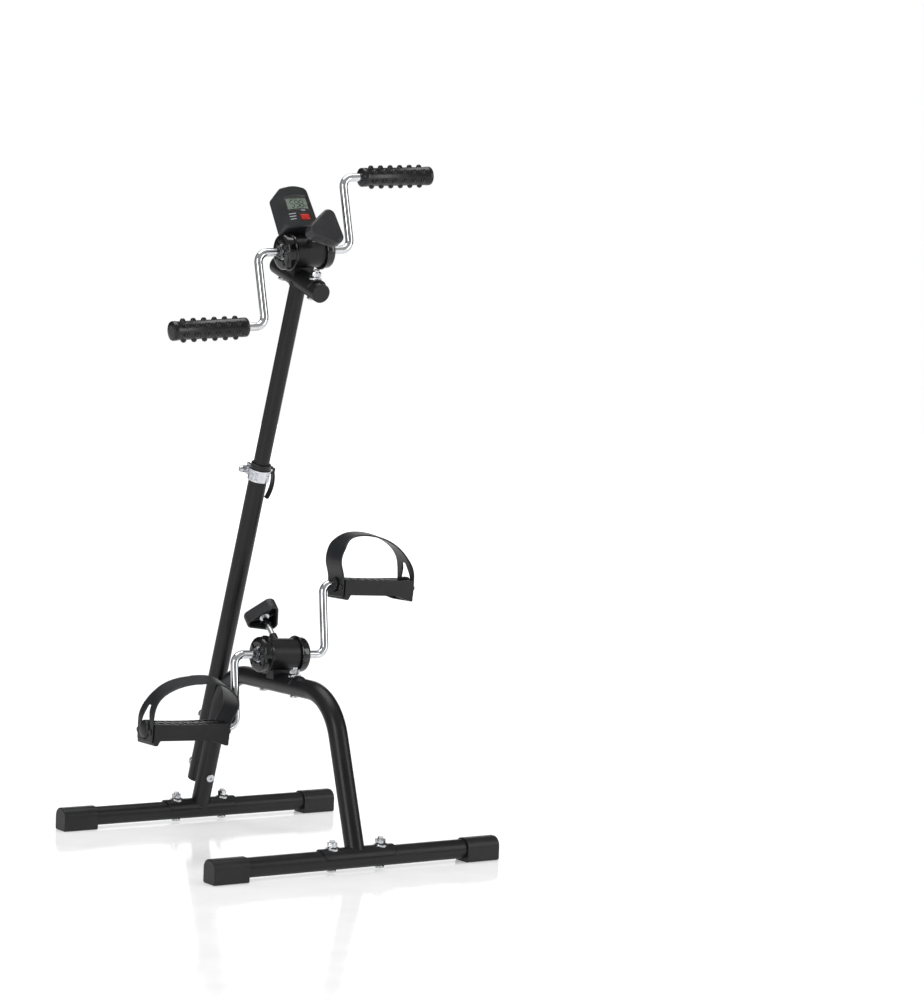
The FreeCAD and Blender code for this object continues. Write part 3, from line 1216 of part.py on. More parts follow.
def hand_and_foot_nodes():
    nodes = {"pedal_push_nuts": group([push_nut(side) for side in (-1, 1)])}
    for side, name in ((-1, "left"), (1, "right")):
        nodes["grip_" + name] = hand_grip(side)
        nodes["pedal_" + name] = pedal(-side)
        nodes["strap_" + name] = foot_strap(-side)
    return nodes


def monitor_nodes():
    return {
        "monitor_case": monitor_case(),
        "monitor_back": monitor_back(),
        "monitor_lens": monitor_lens(),
        "monitor_display": monitor_display(),
        "monitor_button": monitor_button(),
        "monitor_board": monitor_board(),
        "monitor_cell": monitor_cell(),
    }


def floor_middle(nodes):
    """Shift that puts the origin in the middle of the whole part's depth."""
    whole = Part.Compound(list(nodes.values())).BoundBox
    return shift(0, -(whole.YMin + whole.YMax) / 2, 0)


def all_nodes():
    nodes = {}
    nodes.update(frame_nodes())
    nodes.update(fastener_nodes())
    nodes.update(mast_nodes())
    leg_reach = PEDAL_START + SPINDLE_REACH
    arm_reach = GRIP_END - GRIP_WALL - SOFT_GAP
    nodes.update(hub_nodes("leg", leg_seat(), leg_hub(), LEG_BOSS_SHIFT, LEG_KNOB_TURN, LEG_PHASE, leg_reach))
    nodes.update(hub_nodes("arm", arm_seat(), arm_hub(), ARM_BOSS_SHIFT, ARM_KNOB_TURN, ARM_PHASE, arm_reach))
    nodes.update(hand_and_foot_nodes())
    nodes.update(monitor_nodes())
    return nodes


def main():
    os.makedirs("parts", exist_ok=True)
    nodes = all_nodes()
    middle = floor_middle(nodes)
    for name, shape in nodes.items():
        shape = placed(shape, middle)
        shape.exportStep("parts/%s.step" % name)
        facts = (name, len(shape.Solids), shape.Volume, shape.isValid())
        print("%-20s solids %d  volume %.0f  valid %s" % facts)


main()
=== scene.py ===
# %% [markdown]
# # Arm and leg pedal exerciser
# One frame of black tube carries two sets of cranks: a low set with pedals for the feet
# and a high set with grips for the hands. The measured solids are loaded first. They set
# every size here, and each finer piece is modelled around them and rides on their bodies.

# %% Load the measured frame
import json
import math
import bmesh
import bpy
import numpy as np
from mathutils import Matrix, Vector


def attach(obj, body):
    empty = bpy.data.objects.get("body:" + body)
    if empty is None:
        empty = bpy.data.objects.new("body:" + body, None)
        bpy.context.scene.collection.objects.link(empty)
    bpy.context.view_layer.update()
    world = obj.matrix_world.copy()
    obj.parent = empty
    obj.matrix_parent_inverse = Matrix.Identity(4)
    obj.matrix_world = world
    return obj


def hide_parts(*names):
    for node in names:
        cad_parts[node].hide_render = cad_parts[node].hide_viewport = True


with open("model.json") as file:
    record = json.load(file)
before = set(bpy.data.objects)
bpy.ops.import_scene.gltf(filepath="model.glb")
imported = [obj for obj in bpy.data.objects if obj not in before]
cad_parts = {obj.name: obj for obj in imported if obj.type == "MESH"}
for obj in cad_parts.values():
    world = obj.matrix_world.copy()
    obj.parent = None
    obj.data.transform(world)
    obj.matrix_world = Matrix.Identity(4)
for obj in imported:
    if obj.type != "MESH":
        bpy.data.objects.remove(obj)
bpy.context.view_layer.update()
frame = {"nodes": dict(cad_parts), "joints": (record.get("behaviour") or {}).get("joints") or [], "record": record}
record_joints = {joint["name"]: joint for joint in frame["joints"]}

# %% [markdown]
# The joints say where each moving group sits and which way it turns, so local axes are
# built from them. X runs along a hub, a pedal or a grip, and Z points up or out of it.
# A piece is modelled flat and square at the origin and is then laid on its own axes.

# %% Local axes from the joints
MM = 0.001


def axes(origin, x, z):
    """Placement with a given X, and a Z made square to it."""
    x = Vector(x).normalized()
    z = Vector(z)
    z = (z - x * z.dot(x)).normalized()
    y = z.cross(x)
    turned = Matrix((x, y, z)).transposed().to_4x4()
    return Matrix.Translation(Vector(origin)) @ turned


def joint_at(name):
    return Vector(record_joints[name]["pos_m"])


def joint_way(name):
    return Vector(record_joints[name]["axis"])


def joint_axes(name, z, sign=1):
    return axes(joint_at(name), joint_way(name) * sign, z)


def moved(x, y, z):
    """Shift given in millimetres."""
    return Matrix.Translation(Vector((x, y, z)) * MM)


def spun(axis, degrees):
    return Matrix.Rotation(math.radians(degrees), 4, axis)


UP = Vector((0, 0, 1))
MAST_UP = joint_way("mast_swivel")
MAST = axes(joint_at("mast_swivel"), (1, 0, 0), MAST_UP)
LEG_HUB = joint_axes("leg_crank", UP, -1)
ARM_HUB = joint_axes("arm_crank", MAST_UP)
PEDAL_AXES = {"left": joint_axes("left_pedal_spin", UP, -1),
              "right": joint_axes("right_pedal_spin", UP)}
for name, place in (("leg hub", LEG_HUB), ("arm hub", ARM_HUB)):
    print(name, [round(v, 4) for v in place.translation])

# %% [markdown]
# ## How the pieces are made
# A ring of points is laid on the first outline and its edge is extruded from outline to
# outline, the way a turned or moulded part is drawn section by section. The same helper
# makes knobs, caps, grips and weld beads, so every round piece has clean rings of quads.

# %% Modelling helpers
def only(piece):
    """Selects one piece and nothing else."""
    bpy.ops.object.select_all(action="DESELECT")
    piece.select_set(True)
    bpy.context.view_layer.objects.active = piece
    return piece


def added(name, add, **settings):
    """Runs one of Blender's add operators and names what it makes."""
    bpy.ops.object.select_all(action="DESELECT")
    add(**settings)
    piece = bpy.context.object
    piece.name = piece.data.name = name
    return piece


def choose(piece, kind, test):
    """In edit mode, selects the edges or faces that pass a test."""
    bpy.ops.mesh.select_mode(type=kind)
    bpy.ops.mesh.select_all(action="DESELECT")
    mesh = bmesh.from_edit_mesh(piece.data)
    for item in mesh.edges if kind == "EDGE" else mesh.faces:
        if test(item):
            item.select_set(True)
    mesh.select_flush_mode()
    bmesh.update_edit_mesh(piece.data)


def face_outward():
    """In edit mode, turns every face outward and leaves the mode."""
    bpy.ops.mesh.select_all(action="SELECT")
    bpy.ops.mesh.normals_make_consistent(inside=False)
    bpy.ops.object.mode_set(mode="OBJECT")


def skin(name, rings, joined=False):
    """Lays a circle on the first ring and extrudes its edge from ring to ring.

    The two ends are closed by faces, or joined to each other.
    """
    count = len(rings[0])
    piece = added(name, bpy.ops.mesh.primitive_circle_add, vertices=count, radius=1)
    for corner, point in zip(piece.data.vertices, rings[0]):
        corner.co = point
    bpy.ops.object.mode_set(mode="EDIT")
    bpy.ops.mesh.select_mode(type="EDGE")
    bpy.ops.mesh.select_all(action="SELECT")
    edge_loop = list(range(count))
    for ring in rings[1:]:
        bpy.ops.mesh.extrude_edges_move()
        mesh = bmesh.from_edit_mesh(piece.data)
        mesh.verts.ensure_lookup_table()
        old = {tuple(mesh.verts[i].co): place for place, i in enumerate(edge_loop)}
        fresh = [v for v in mesh.verts if v.select and v.index not in set(edge_loop)]
        edge_loop = [0] * count
        for v in fresh:
            edge_loop[old[tuple(v.co)]] = v.index
        for place, i in enumerate(edge_loop):
            mesh.verts[i].co = ring[place]
        bmesh.update_edit_mesh(piece.data)
    if joined:
        choose(piece, "EDGE", lambda e: e.is_boundary)
        bpy.ops.mesh.bridge_edge_loops()
    else:
        for loop in (set(range(count)), set(edge_loop)):
            choose(piece, "EDGE", lambda e: e.is_boundary and all(v.index in loop for v in e.verts))
            bpy.ops.mesh.edge_face_add()
    face_outward()
    return piece


def around(radius, angle, height=0.0):
    """Point about the Z axis."""
    return Vector((radius * math.cos(angle), radius * math.sin(angle), height))


def circle(radius, height, count=48):
    """Ring of points about the Z axis, given in millimetres."""
    return [around(radius, 2 * math.pi * i / count, height) * MM for i in range(count)]


def turned(name, profile, count=48):
    """Solid turned about Z from a profile of radius and height."""
    return skin(name, [circle(radius, height, count) for radius, height in profile])


def modify(piece, kind, **settings):
    """Adds a modifier with its settings and applies it."""
    only(piece)
    modifier = piece.modifiers.new(kind.title(), kind)
    for name, value in settings.items():
        setattr(modifier, name, value)
    bpy.ops.object.modifier_apply(modifier=modifier.name)
    return piece


def copied(piece, name):
    """Copy with a mesh of its own."""
    twin = piece.copy()
    twin.data = piece.data.copy()
    twin.name = twin.data.name = name
    bpy.context.collection.objects.link(twin)
    return twin


def laid(piece, placement):
    """Turns and moves a piece to its place, inside its mesh."""
    only(piece)
    piece.matrix_world = placement
    bpy.ops.object.transform_apply(location=True, rotation=True, scale=True)
    return piece


def merged(name, pieces):
    """Joins several shapes into one piece."""
    bpy.ops.object.select_all(action="DESELECT")
    for piece in pieces:
        piece.select_set(True)
    bpy.context.view_layer.objects.active = pieces[0]
    if len(pieces) > 1:
        bpy.ops.object.join()
    piece = bpy.context.object
    piece.name = piece.data.name = name
    return piece


def dressed(piece, body, slot, *nodes, crease=40, finish=None):
    """Gives a finished piece its body, its finish and the solids that it stands for."""
    only(piece)
    bpy.ops.object.shade_smooth_by_angle(angle=math.radians(crease))
    piece.data.materials.clear()
    piece.data.materials.append(finish or FINISHES[slot])
    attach(piece, body)
    if nodes:
        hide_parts(*nodes)
    print("made", piece.name, len(piece.data.polygons), "faces")
    return piece


# %% [markdown]
# ## Colours and finishes
# Colours are written as on a paint card and turned to linear light by one function.
# One small function adds a node with its settings and links it, and every finish is
# built from it. Grain sizes are given in millimetres, as they are on the real surface.

# %% Colour and node helpers
def paint(code):
    """Linear colour of an sRGB hex code."""
    channels = [int(code[i:i + 2], 16) / 255 for i in (1, 3, 5)]
    linear = [c / 12.92 if c <= 0.04045 else ((c + 0.055) / 1.055) ** 2.4 for c in channels]
    return (*linear, 1.0)


def add_node(tree, kind, links=None, stops=(), **settings):
    """Adds one node: its settings, its sockets from values or other nodes, and a ramp's stops."""
    node = tree.nodes.new("ShaderNode" + kind)
    for name, value in settings.items():
        setattr(node, name, value)
    for socket, value in (links or {}).items():
        if isinstance(value, bpy.types.Node):
            value = value.outputs[0]
        if isinstance(value, bpy.types.NodeSocket):
            tree.links.new(value, node.inputs[socket])
        else:
            node.inputs[socket].default_value = value
    for number, (position, code) in enumerate(stops):
        if number == len(node.color_ramp.elements):
            node.color_ramp.elements.new(position)
        node.color_ramp.elements[number].position = position
        node.color_ramp.elements[number].color = paint(code)
    return node


def per_mm(size):
    """Pattern scale for a grain of a size in millimetres."""
    return 1 / (size * MM)


def new_finish(name):
    """Empty finish, with the object coordinates that its patterns are laid in."""
    material = bpy.data.materials.new(name)
    material.use_nodes = True
    tree = material.node_tree
    tree.nodes.clear()
    return material, tree, add_node(tree, "TexCoord").outputs["Object"]


def noise(tree, place, size, detail=2.0):
    """Cloudy pattern with a grain of a size in millimetres."""
    return add_node(tree, "TexNoise", {"Vector": place, "Scale": per_mm(size), "Detail": detail})


def toned(tree, value, one, two, low=0.3, high=0.7):
    """Runs from one colour to another between two limits."""
    return add_node(tree, "ValToRGB", {0: value}, stops=((low, one), (high, two)))


def ranged(tree, value, start, end, low=0.3, high=0.7):
    """Runs from one number to another between two limits."""
    return add_node(tree, "MapRange", {"Value": value, "From Min": low, "From Max": high,
                                       "To Min": start, "To Max": end})


def relief(tree, height, depth, edge=0):
    """Bumps of a depth and soft edges of a radius, both in millimetres."""
    links = {"Height": height, "Distance": depth * MM}
    if edge:
        links["Normal"] = add_node(tree, "Bevel", {"Radius": edge * MM}, samples=4)
    return add_node(tree, "Bump", links)


def surfaced(material, tree, **sockets):
    """Ends a finish with its shader, whose sockets are named here, and its output."""
    links = {name.replace("_", " "): value for name, value in sockets.items()}
    add_node(tree, "OutputMaterial", {"Surface": add_node(tree, "BsdfPrincipled", links)})
    return material


# %% [markdown]
# The tubes are steel with a black powder coat baked on. Fused powder leaves a soft
# orange peel about 1.5 mm across and a satin sheen. Handling leaves duller patches,
# and a little dust greys the black where the film is thin.

# %% Powder coated tube
def powder_coat():
    material, tree, place = new_finish("powder_coated_steel")
    peel = noise(tree, place, 1.5)
    film = noise(tree, place, 45, 4.0)
    tone = toned(tree, film, "#131315", "#1b1b1d")
    gloss = ranged(tree, film, 0.32, 0.4)
    return surfaced(material, tree, Base_Color=tone, Roughness=gloss, Specular_IOR_Level=0.3,
                    Normal=relief(tree, peel, 0.02, 0.8))


# %% [markdown]
# Moulded plastics differ by polymer and by the tool's surface. Spark eroded tools leave
# a fine even texture, and polished tools leave gloss with faint flow marks. Hands and
# shoes leave thin scuffs that only change the gloss.

# %% Moulded plastics
def moulded(name, colour, thin, rough, grain, depth, cloud=30, scuff=0.08, **sockets):
    """Moulded plastic with tool grain of a size and depth in millimetres."""
    material, tree, place = new_finish(name)
    tool = noise(tree, place, grain)
    flow = noise(tree, place, cloud, 3.0)
    tone = toned(tree, flow, colour, thin, 0.35, 0.65)
    stretch = add_node(tree, "Mapping", {"Vector": place, "Rotation": (0.6, 0.3, 0.9),
                                         "Scale": (1.0, 0.06, 1.0)})
    worn = ranged(tree, noise(tree, stretch, 1.2), 0.0, scuff, 0.6, 0.7)
    even = ranged(tree, flow, rough - 0.03, rough + 0.04)
    gloss = add_node(tree, "Math", {0: even, 1: worn}, operation="ADD")
    return surfaced(material, tree, Base_Color=tone, Roughness=gloss, Specular_IOR_Level=0.35,
                    Normal=relief(tree, tool, depth, 0.7), **sockets)


# %% [markdown]
# Bright parts are steel under thin metal. Chrome is nearly mirror smooth with a few
# wiped smears. Zinc on the fasteners is duller, with a fine crystal bloom. Pressed
# strip keeps the drawing lines of its sheet.

# %% Plated metals
def plated(name, colour, dull, rough, bloom, smear, lines=0.0):
    """Plated steel: bloom and smears of sizes in millimetres, drawing lines of a depth."""
    material, tree, place = new_finish(name)
    crystals = noise(tree, place, bloom, 4.0)
    wiped = noise(tree, place, smear, 3.0)
    tone = toned(tree, crystals, colour, dull, 0.35)
    gloss = ranged(tree, wiped, rough * 0.7, rough * 1.5)
    drawn = add_node(tree, "Mapping", {"Vector": place, "Scale": (0.05, 0.05, 1.0)})
    return surfaced(material, tree, Base_Color=tone, Roughness=gloss, Metallic=1.0,
                    Normal=relief(tree, noise(tree, drawn, 0.4), lines))


# %% [markdown]
# The clear parts need their own recipe. The window is clear acrylic, polished on both
# faces. The display behind it is grey green glass that holds the liquid crystal.

# %% Window and display
def acrylic():
    material, tree, place = new_finish("polished_acrylic")
    gloss = ranged(tree, noise(tree, place, 12, 3.0), 0.01, 0.06)
    return surfaced(material, tree, Base_Color=paint("#fbfdfb"), Roughness=gloss, IOR=1.49,
                    Transmission_Weight=1.0)


def display_glass():
    material, tree, place = new_finish("liquid_crystal_glass")
    cloud = noise(tree, place, 9)
    tone = toned(tree, cloud, "#96a697", "#a6b5a6")
    gloss = ranged(tree, cloud, 0.3, 0.4)
    return surfaced(material, tree, Base_Color=tone, Roughness=gloss)


# %% [markdown]
# Inside, the board is woven glass in green resin, and its weave shows as a fine check.
# The brake drum is turned nylon with tool rings, and the pad is pressed fibre.

# %% Inner finishes
def woven_board():
    material, tree, place = new_finish("glass_epoxy_board")
    weave = add_node(tree, "TexChecker", {"Vector": place, "Scale": per_mm(0.8),
                                          "Color1": paint("#1d5a3a"), "Color2": paint("#23663f")})
    return surfaced(material, tree, Base_Color=weave, Roughness=0.35,
                    Normal=relief(tree, weave.outputs["Fac"], 0.01))


def turned_nylon():
    material, tree, place = new_finish("turned_nylon")
    cloud = noise(tree, place, 15, 3.0)
    tone = toned(tree, cloud, "#d9d5c9", "#e2dfd5")
    rings = add_node(tree, "TexWave", {"Vector": place, "Scale": per_mm(3.0), "Distortion": 0.4},
                     bands_direction="X")
    return surfaced(material, tree, Base_Color=tone, Roughness=0.45,
                    Normal=relief(tree, rings.outputs["Fac"], 0.03))


def pressed_fibre():
    material, tree, place = new_finish("pressed_fibre")
    fibres = noise(tree, place, 0.4, 6.0)
    tone = toned(tree, fibres, "#7d5f43", "#9a7a5a")
    return surfaced(material, tree, Base_Color=tone, Roughness=0.95, Sheen_Weight=0.3,
                    Normal=relief(tree, fibres, 0.2))


# %% [markdown]
# Each finish is made once, under the name of the slot that the part's record gives it.
# The record also says which slot each measured solid takes, so the solids get theirs here.

# %% Finishes by slot
FINISHES = {
    "frame_paint": powder_coat(),
    "foot_cap": moulded("moulded_polyethylene_cap", "#18181a", "#1f1f21", 0.4, 0.7, 0.03),
    "zinc": plated("bright_zinc_on_steel", "#cfd0d2", "#b3b5b9", 0.2, 1.2, 6),
    "clamp_metal": plated("chromed_pressed_strip", "#d4d5d9", "#c2c4ca", 0.14, 2.0, 8, lines=0.01),
    "clamp_lever": moulded("black_coated_steel", "#151517", "#1c1c1e", 0.32, 0.9, 0.02),
    "bush": moulded("moulded_acetal", "#131315", "#18181a", 0.3, 0.8, 0.01),
    "plug": moulded("moulded_polyethylene_plug", "#18181a", "#1f1f21", 0.42, 0.6, 0.03),
    "end_cap": moulded("polished_black_abs", "#0c0c0e", "#101012", 0.13, 3.0, 0.01, Coat_Weight=0.25),
    "crank_chrome": plated("bright_chrome_on_steel", "#d4d5d8", "#c6c8cc", 0.05, 6.0, 14),
    "drum": turned_nylon(),
    "brake_pad": pressed_fibre(),
    "knob": moulded("satin_abs_knob", "#29292b", "#303033", 0.36, 0.5, 0.03),
    "grip_rubber": moulded("dipped_pvc_grip", "#151517", "#1b1b1d", 0.25, 0.4, 0.02, 12),
    "pedal_plastic": moulded("moulded_polypropylene_pedal", "#171719", "#1e1e20", 0.36, 0.6, 0.03),
    "strap_rubber": moulded("moulded_soft_pvc_strap", "#232426", "#2b2c2e", 0.38, 0.5, 0.03),
    "monitor_case": moulded("textured_abs_case", "#232426", "#2a2b2d", 0.32, 0.4, 0.03),
    "window": acrylic(),
    "display": display_glass(),
    "button": moulded("moulded_red_abs", "#b3241b", "#c02e22", 0.3, 0.8, 0.01, 5),
    "board": woven_board(),
    "cell": plated("nickel_plated_cell", "#c4c2bc", "#b5b3ad", 0.3, 1.5, 5),
}
for part in frame["record"]["subparts"]:
    solid = frame["nodes"][part["node"]]
    solid.data.materials.clear()
    solid.data.materials.append(FINISHES[part["material_slot"]])

# %% [markdown]
# ## Hub end caps
# Each crank hub is closed by two moulded caps that also hold the axle's bearings. A cap
# has a proud ring where it meets the tube, a soft shoulder, and a recess for the nut.
# It is drawn as half a section and turned, and the four spanner slots are cut after that.

# %% More modelling helpers
def cut(piece, cutter):
    """Takes one shape out of another and deletes the tool."""
    modify(piece, "BOOLEAN", object=cutter, operation="DIFFERENCE", solver="EXACT")
    bpy.data.objects.remove(cutter)
    return piece


def hexagon(across, height, limit, count=48):
    """Ring of a hexagon across its flats, its corners turned off at a radius."""
    ring = []
    for i in range(count):
        angle = 2 * math.pi * i / count
        flat = across / 2 / math.cos((angle + math.pi / 6) % (math.pi / 3) - math.pi / 6)
        ring.append(around(min(flat, limit), angle, height) * MM)
    return ring


def rounded_box(name, size, edge, at=(0, 0, 0), segments=2):
    """Box of a size in millimetres with its edges rounded."""
    piece = added(name, bpy.ops.mesh.primitive_cube_add, size=1)
    piece.scale = Vector(size) * MM
    piece.location = Vector(at) * MM
    bpy.ops.object.transform_apply(location=True, rotation=True, scale=True)
    return modify(piece, "BEVEL", width=edge * MM, segments=segments) if edge else piece


def local_box(node, placement):
    """Corners of a measured solid in local axes, in millimetres."""
    into = placement.inverted()
    points = np.array([into @ corner.co for corner in frame["nodes"][node].data.vertices]) / MM
    return points.min(axis=0), points.max(axis=0)


# Pieces are turned about Z, and this lays Z along a hub, toward one end or the other.
OUT = {1: spun("Y", 90), -1: spun("Y", -90)}
HUBS = {"arm": (ARM_HUB, "head", {"left": -1, "right": 1}),
        "leg": (LEG_HUB, "base", {"left": 1, "right": -1})}

# %% Turn the end cap and cut its slots
CAP_PROFILE = [
    (24.1, 24), (27.4, 24), (28, 24.6), (28, 26.4), (27.5, 27), (26.3, 27.1), (26, 27.5), (26, 34.8),
    (25.7, 36.4), (24.8, 37.9), (23.3, 38.9), (21.2, 39.35), (17, 39.5), (13.5, 39.5), (13, 39.1),
    (12.9, 36.3), (12.4, 35.8), (6.7, 35.8), (6.2, 35.4), (6.2, 24.2), (9.3, 24.2), (9.3, 34.2),
    (24.1, 34.2)]
CAP_SLOT = (9.0, 4.6, 5.0)
CAP_SLOT_AT = (17.2, 0, 40.0)


def end_cap():
    cap = skin("end_cap", [circle(radius, height, 96) for radius, height in CAP_PROFILE], joined=True)
    for turn in (45, 135, 225, 315):
        slot = rounded_box("slot", CAP_SLOT, 0.8, CAP_SLOT_AT)
        cut(cap, laid(slot, spun("Z", turn)))
    return cap


cap = end_cap()
for name, (hub, body, signs) in HUBS.items():
    for side, sign in signs.items():
        node = "%s_end_cap_%s" % (name, side)
        piece = laid(copied(cap, node + "_moulded"), hub @ OUT[sign])
        dressed(piece, body, "end_cap", node, crease=28)
bpy.data.objects.remove(cap)

# %% [markdown]
# A flanged lock nut sits in each recess and holds the axle. Its flats are milled and its
# corners are turned off, as on any nut, so light catches the rim.

# %% Lock nuts
# Radius, height and width across flats, nothing where the ring is round.
WASHER_PROFILE = [
    (6.4, 36.1, 0), (11.7, 36.1, 0), (12, 36.4, 0), (12, 37.2, 0), (11.8, 37.4, 0), (6.4, 37.4, 0)]
NUT_PROFILE = [
    (6.4, 37.4, 0), (9.6, 37.4, 0), (10.6, 37.9, 19), (10.6, 40.5, 19), (9.8, 41.2, 19), (7.2, 41.2, 0),
    (6.4, 40.5, 0)]
DULL_ZINC = plated("dull_zinc_on_steel", "#7d7e82", "#6b6c70", 0.26, 1.0, 5)


def ring_of(name, profile):
    """Turned ring, round or six sided at each height of its section."""
    rings = [hexagon(across, height, radius) if across else circle(radius, height)
             for radius, height, across in profile]
    return skin(name, rings, joined=True)


def pin_place(hub, pin):
    """Place of the joint at a crank's end, in the axes of its hub."""
    return hub.inverted() @ joint_at(pin)


def crank_turn(hub, pin):
    """Turn of a crank about its hub, read from the joint of what it carries."""
    place = pin_place(hub, pin)
    return math.degrees(math.atan2(-place.y, place.z))


CRANKS = {"arm": ("left_grip_spin", "right_grip_spin"), "leg": ("left_pedal_spin", "right_pedal_spin")}
for name, (hub, _, _) in HUBS.items():
    turn = crank_turn(hub, CRANKS[name][1])
    places = [hub @ spun("X", turn) @ OUT[end] for end in (-1, 1)]
    nuts = [laid(ring_of("nut", NUT_PROFILE), place) for place in places]
    dressed(merged(name + "_lock_nut_pair", nuts), name + "_cranks", "zinc", name + "_lock_nuts",
            crease=30, finish=DULL_ZINC)
    washers = [laid(ring_of("washer", WASHER_PROFILE), place) for place in places]
    dressed(merged(name + "_nut_washers", washers), name + "_cranks", "zinc", crease=30)

# %% [markdown]
# ## Cranks
# A crank is one chromed rod with two cold bends. A round section is carried along the
# line of the rod, with closer steps in the bends, so the reflections run on smoothly.

# %% Bend the rods
ROD_RADIUS, ROD_BEND = 6.0, 15.0
CRANK_START, CRANK_CORNER = 36.3, 77.5
CRANK_REACH = {"arm": 222.2, "leg": 219.0}


def bent_line(points, bend, steps=14):
    """Straight runs with an arc at each corner, in millimetres."""
    points = [Vector(point) for point in points]
    line = [points[0]]
    for before, corner, after in zip(points, points[1:], points[2:]):
        one, two = (before - corner).normalized(), (after - corner).normalized()
        centre = corner + (one + two) * bend
        for i in range(steps + 1):
            angle = math.pi / 2 * i / steps
            line.append(centre - two * bend * math.cos(angle) - one * bend * math.sin(angle))
    return line + [points[-1]]


def rod(name, line, radius, count=32, closed=False):
    """Round section carried along a line."""
    rings = []
    across = Vector((0, 0, 1)) if closed else Vector((0, 1, 0))
    for i, point in enumerate(line):
        before = line[i - 1] if i or closed else line[0]
        after = line[(i + 1) % len(line)] if closed or i + 1 < len(line) else line[-1]
        way = (after - before).normalized()
        side = across.cross(way).normalized()
        up = way.cross(side)
        angles = [2 * math.pi * k / count for k in range(count)]
        rings.append([(point + (side * math.cos(a) + up * math.sin(a)) * radius) * MM for a in angles])
    return skin(name, rings, joined=closed)


for name, (hub, _, signs) in HUBS.items():
    for side, sign in signs.items():
        pin = CRANKS[name][side == "right"]
        place = pin_place(hub, pin) / MM
        arm = math.hypot(place.y, place.z)
        points = [(CRANK_START, 0, 0), (CRANK_CORNER, 0, 0), (CRANK_CORNER, 0, arm),
                  (CRANK_REACH[name], 0, arm)]
        crank = rod("crank", bent_line(points, ROD_BEND), ROD_RADIUS)
        mirror = Matrix.Identity(4) if sign > 0 else Matrix.Scale(-1, 4, (1, 0, 0))
        crank = laid(crank, hub @ spun("X", crank_turn(hub, pin)) @ mirror)
        if sign < 0:
            bpy.ops.object.mode_set(mode="EDIT")
            face_outward()
        node = "%s_crank_%s" % (name, side)
        crank.name = crank.data.name = node + "_rod"
        dressed(crank, name + "_cranks", "crank_chrome", node)

# %% [markdown]
# ## Tension knobs
# The knob is a hollow moulded cover with three lobes, large enough for a palm. Its top
# is crowned and its rim is rounded, and ribs underneath carry the screw's collar.

# %% Lobed outline and knob
KNOB_TIP, KNOB_LOBE, KNOB_UNDER = 29.0, 10.5, 68.0


def lobed(inset, height, count=96):
    """Ring of a rounded triangle, drawn in by an inset."""
    tip, lobe = KNOB_TIP - KNOB_LOBE, max(KNOB_LOBE - inset, 1.5)
    core = tip if inset <= KNOB_LOBE - 1.5 else max(tip - 2 * (inset - KNOB_LOBE + 1.5), 0.5)
    ring = []
    for i in range(count):
        part, share = divmod(i * 3 / count, 1)
        middle = math.radians(90 + 120 * part)
        # Half of the points go round the lobe and half along the side that follows it.
        if share < 0.5:
            spot = around(core, middle) + around(lobe, middle + math.radians(120) * (share * 2 - 0.5))
        else:
            side = around(lobe, middle + math.radians(60))
            ends = [around(core, corner) + side for corner in (middle, middle + math.radians(120))]
            spot = ends[0].lerp(ends[1], share * 2 - 1)
        ring.append((spot + Vector((0, 0, height))) * MM)
    return ring


KNOB_RINGS = [
    (2.8, 0.4), (2.4, 0), (0.6, 0), (0.15, 0.3), (0, 1), (0, 8), (0.05, 16), (0.25, 17.6), (0.8, 18.7),
    (1.7, 19.5), (2.9, 19.9), (3.6, 19.95), (4.6, 20.2), (6.5, 20.4), (9, 20.6), (13, 20.8), (18, 21)]
KNOB_HOLLOW = [(18, 17), (3.8, 17), (3, 15.8)]
KNOB_COLLAR = [(8, 17.5), (8, 9.6), (7.4, 9.1), (5.2, 9.1), (4.8, 9.6), (4.8, 17.5)]
RIB_THICK, RIB_TALL, RIB_MIDDLE = 1.8, 12.0, 11.5


def tension_knob():
    rings = [lobed(inset, height) for inset, height in KNOB_HOLLOW + KNOB_RINGS]
    knob = skin("knob", rings)
    ribs = [turned("collar", KNOB_COLLAR)]
    for i in range(3):
        for length, out, turn in ((17.5, 16.0, 90), (5.2, 10.4, 30)):
            rib = rounded_box("rib", (length, RIB_THICK, RIB_TALL), 0.3, (out, 0, RIB_MIDDLE))
            ribs.append(laid(rib, spun("Z", turn + 120 * i)))
    return merged("knob", [knob] + ribs)


knob = tension_knob()
for name, turn in (("arm", -22.0), ("leg", 8.0)):
    joint = name + "_knob_turn"
    seat = axes(joint_at(joint), HUBS[name][0].col[0].to_3d(), -joint_way(joint))
    seat = seat @ moved(0, 0, KNOB_UNDER) @ spun("Z", turn)
    piece = laid(copied(knob, name + "_tension_knob"), seat)
    dressed(piece, name + "_tension", "knob", name + "_knob", crease=30)
bpy.data.objects.remove(knob)

# %% [markdown]
# ## Hand grips
# The grips are dipped or moulded in soft PVC, with a rim at the inner end, a closed outer
# end and six rings of round nubs. One nub is modelled and copied into its rings.

# %% Grip body and nubs
GRIP_RADIUS = 14.0
NUB_RINGS, NUBS_ROUND = 6, 6
NUB_START, NUB_PITCH, NUB_SINK = 126.4, 16.65, 0.4
NUB_PROFILE = [(4.3, -1.2), (4.15, 0.4), (3.8, 1.5), (3.15, 2.5), (2.2, 3.3), (1.1, 3.7), (0.25, 3.8)]
GRIP_PROFILE = [
    (6.2, 112), (6.2, 109), (12.6, 109), (13.7, 109.4), (14, 110.4), (14, 118), (13.6, 119),
    (13.6, 220), (14, 221), (14, 226.2), (13.5, 227.4), (12.2, 228), (6, 228), (1, 228)]


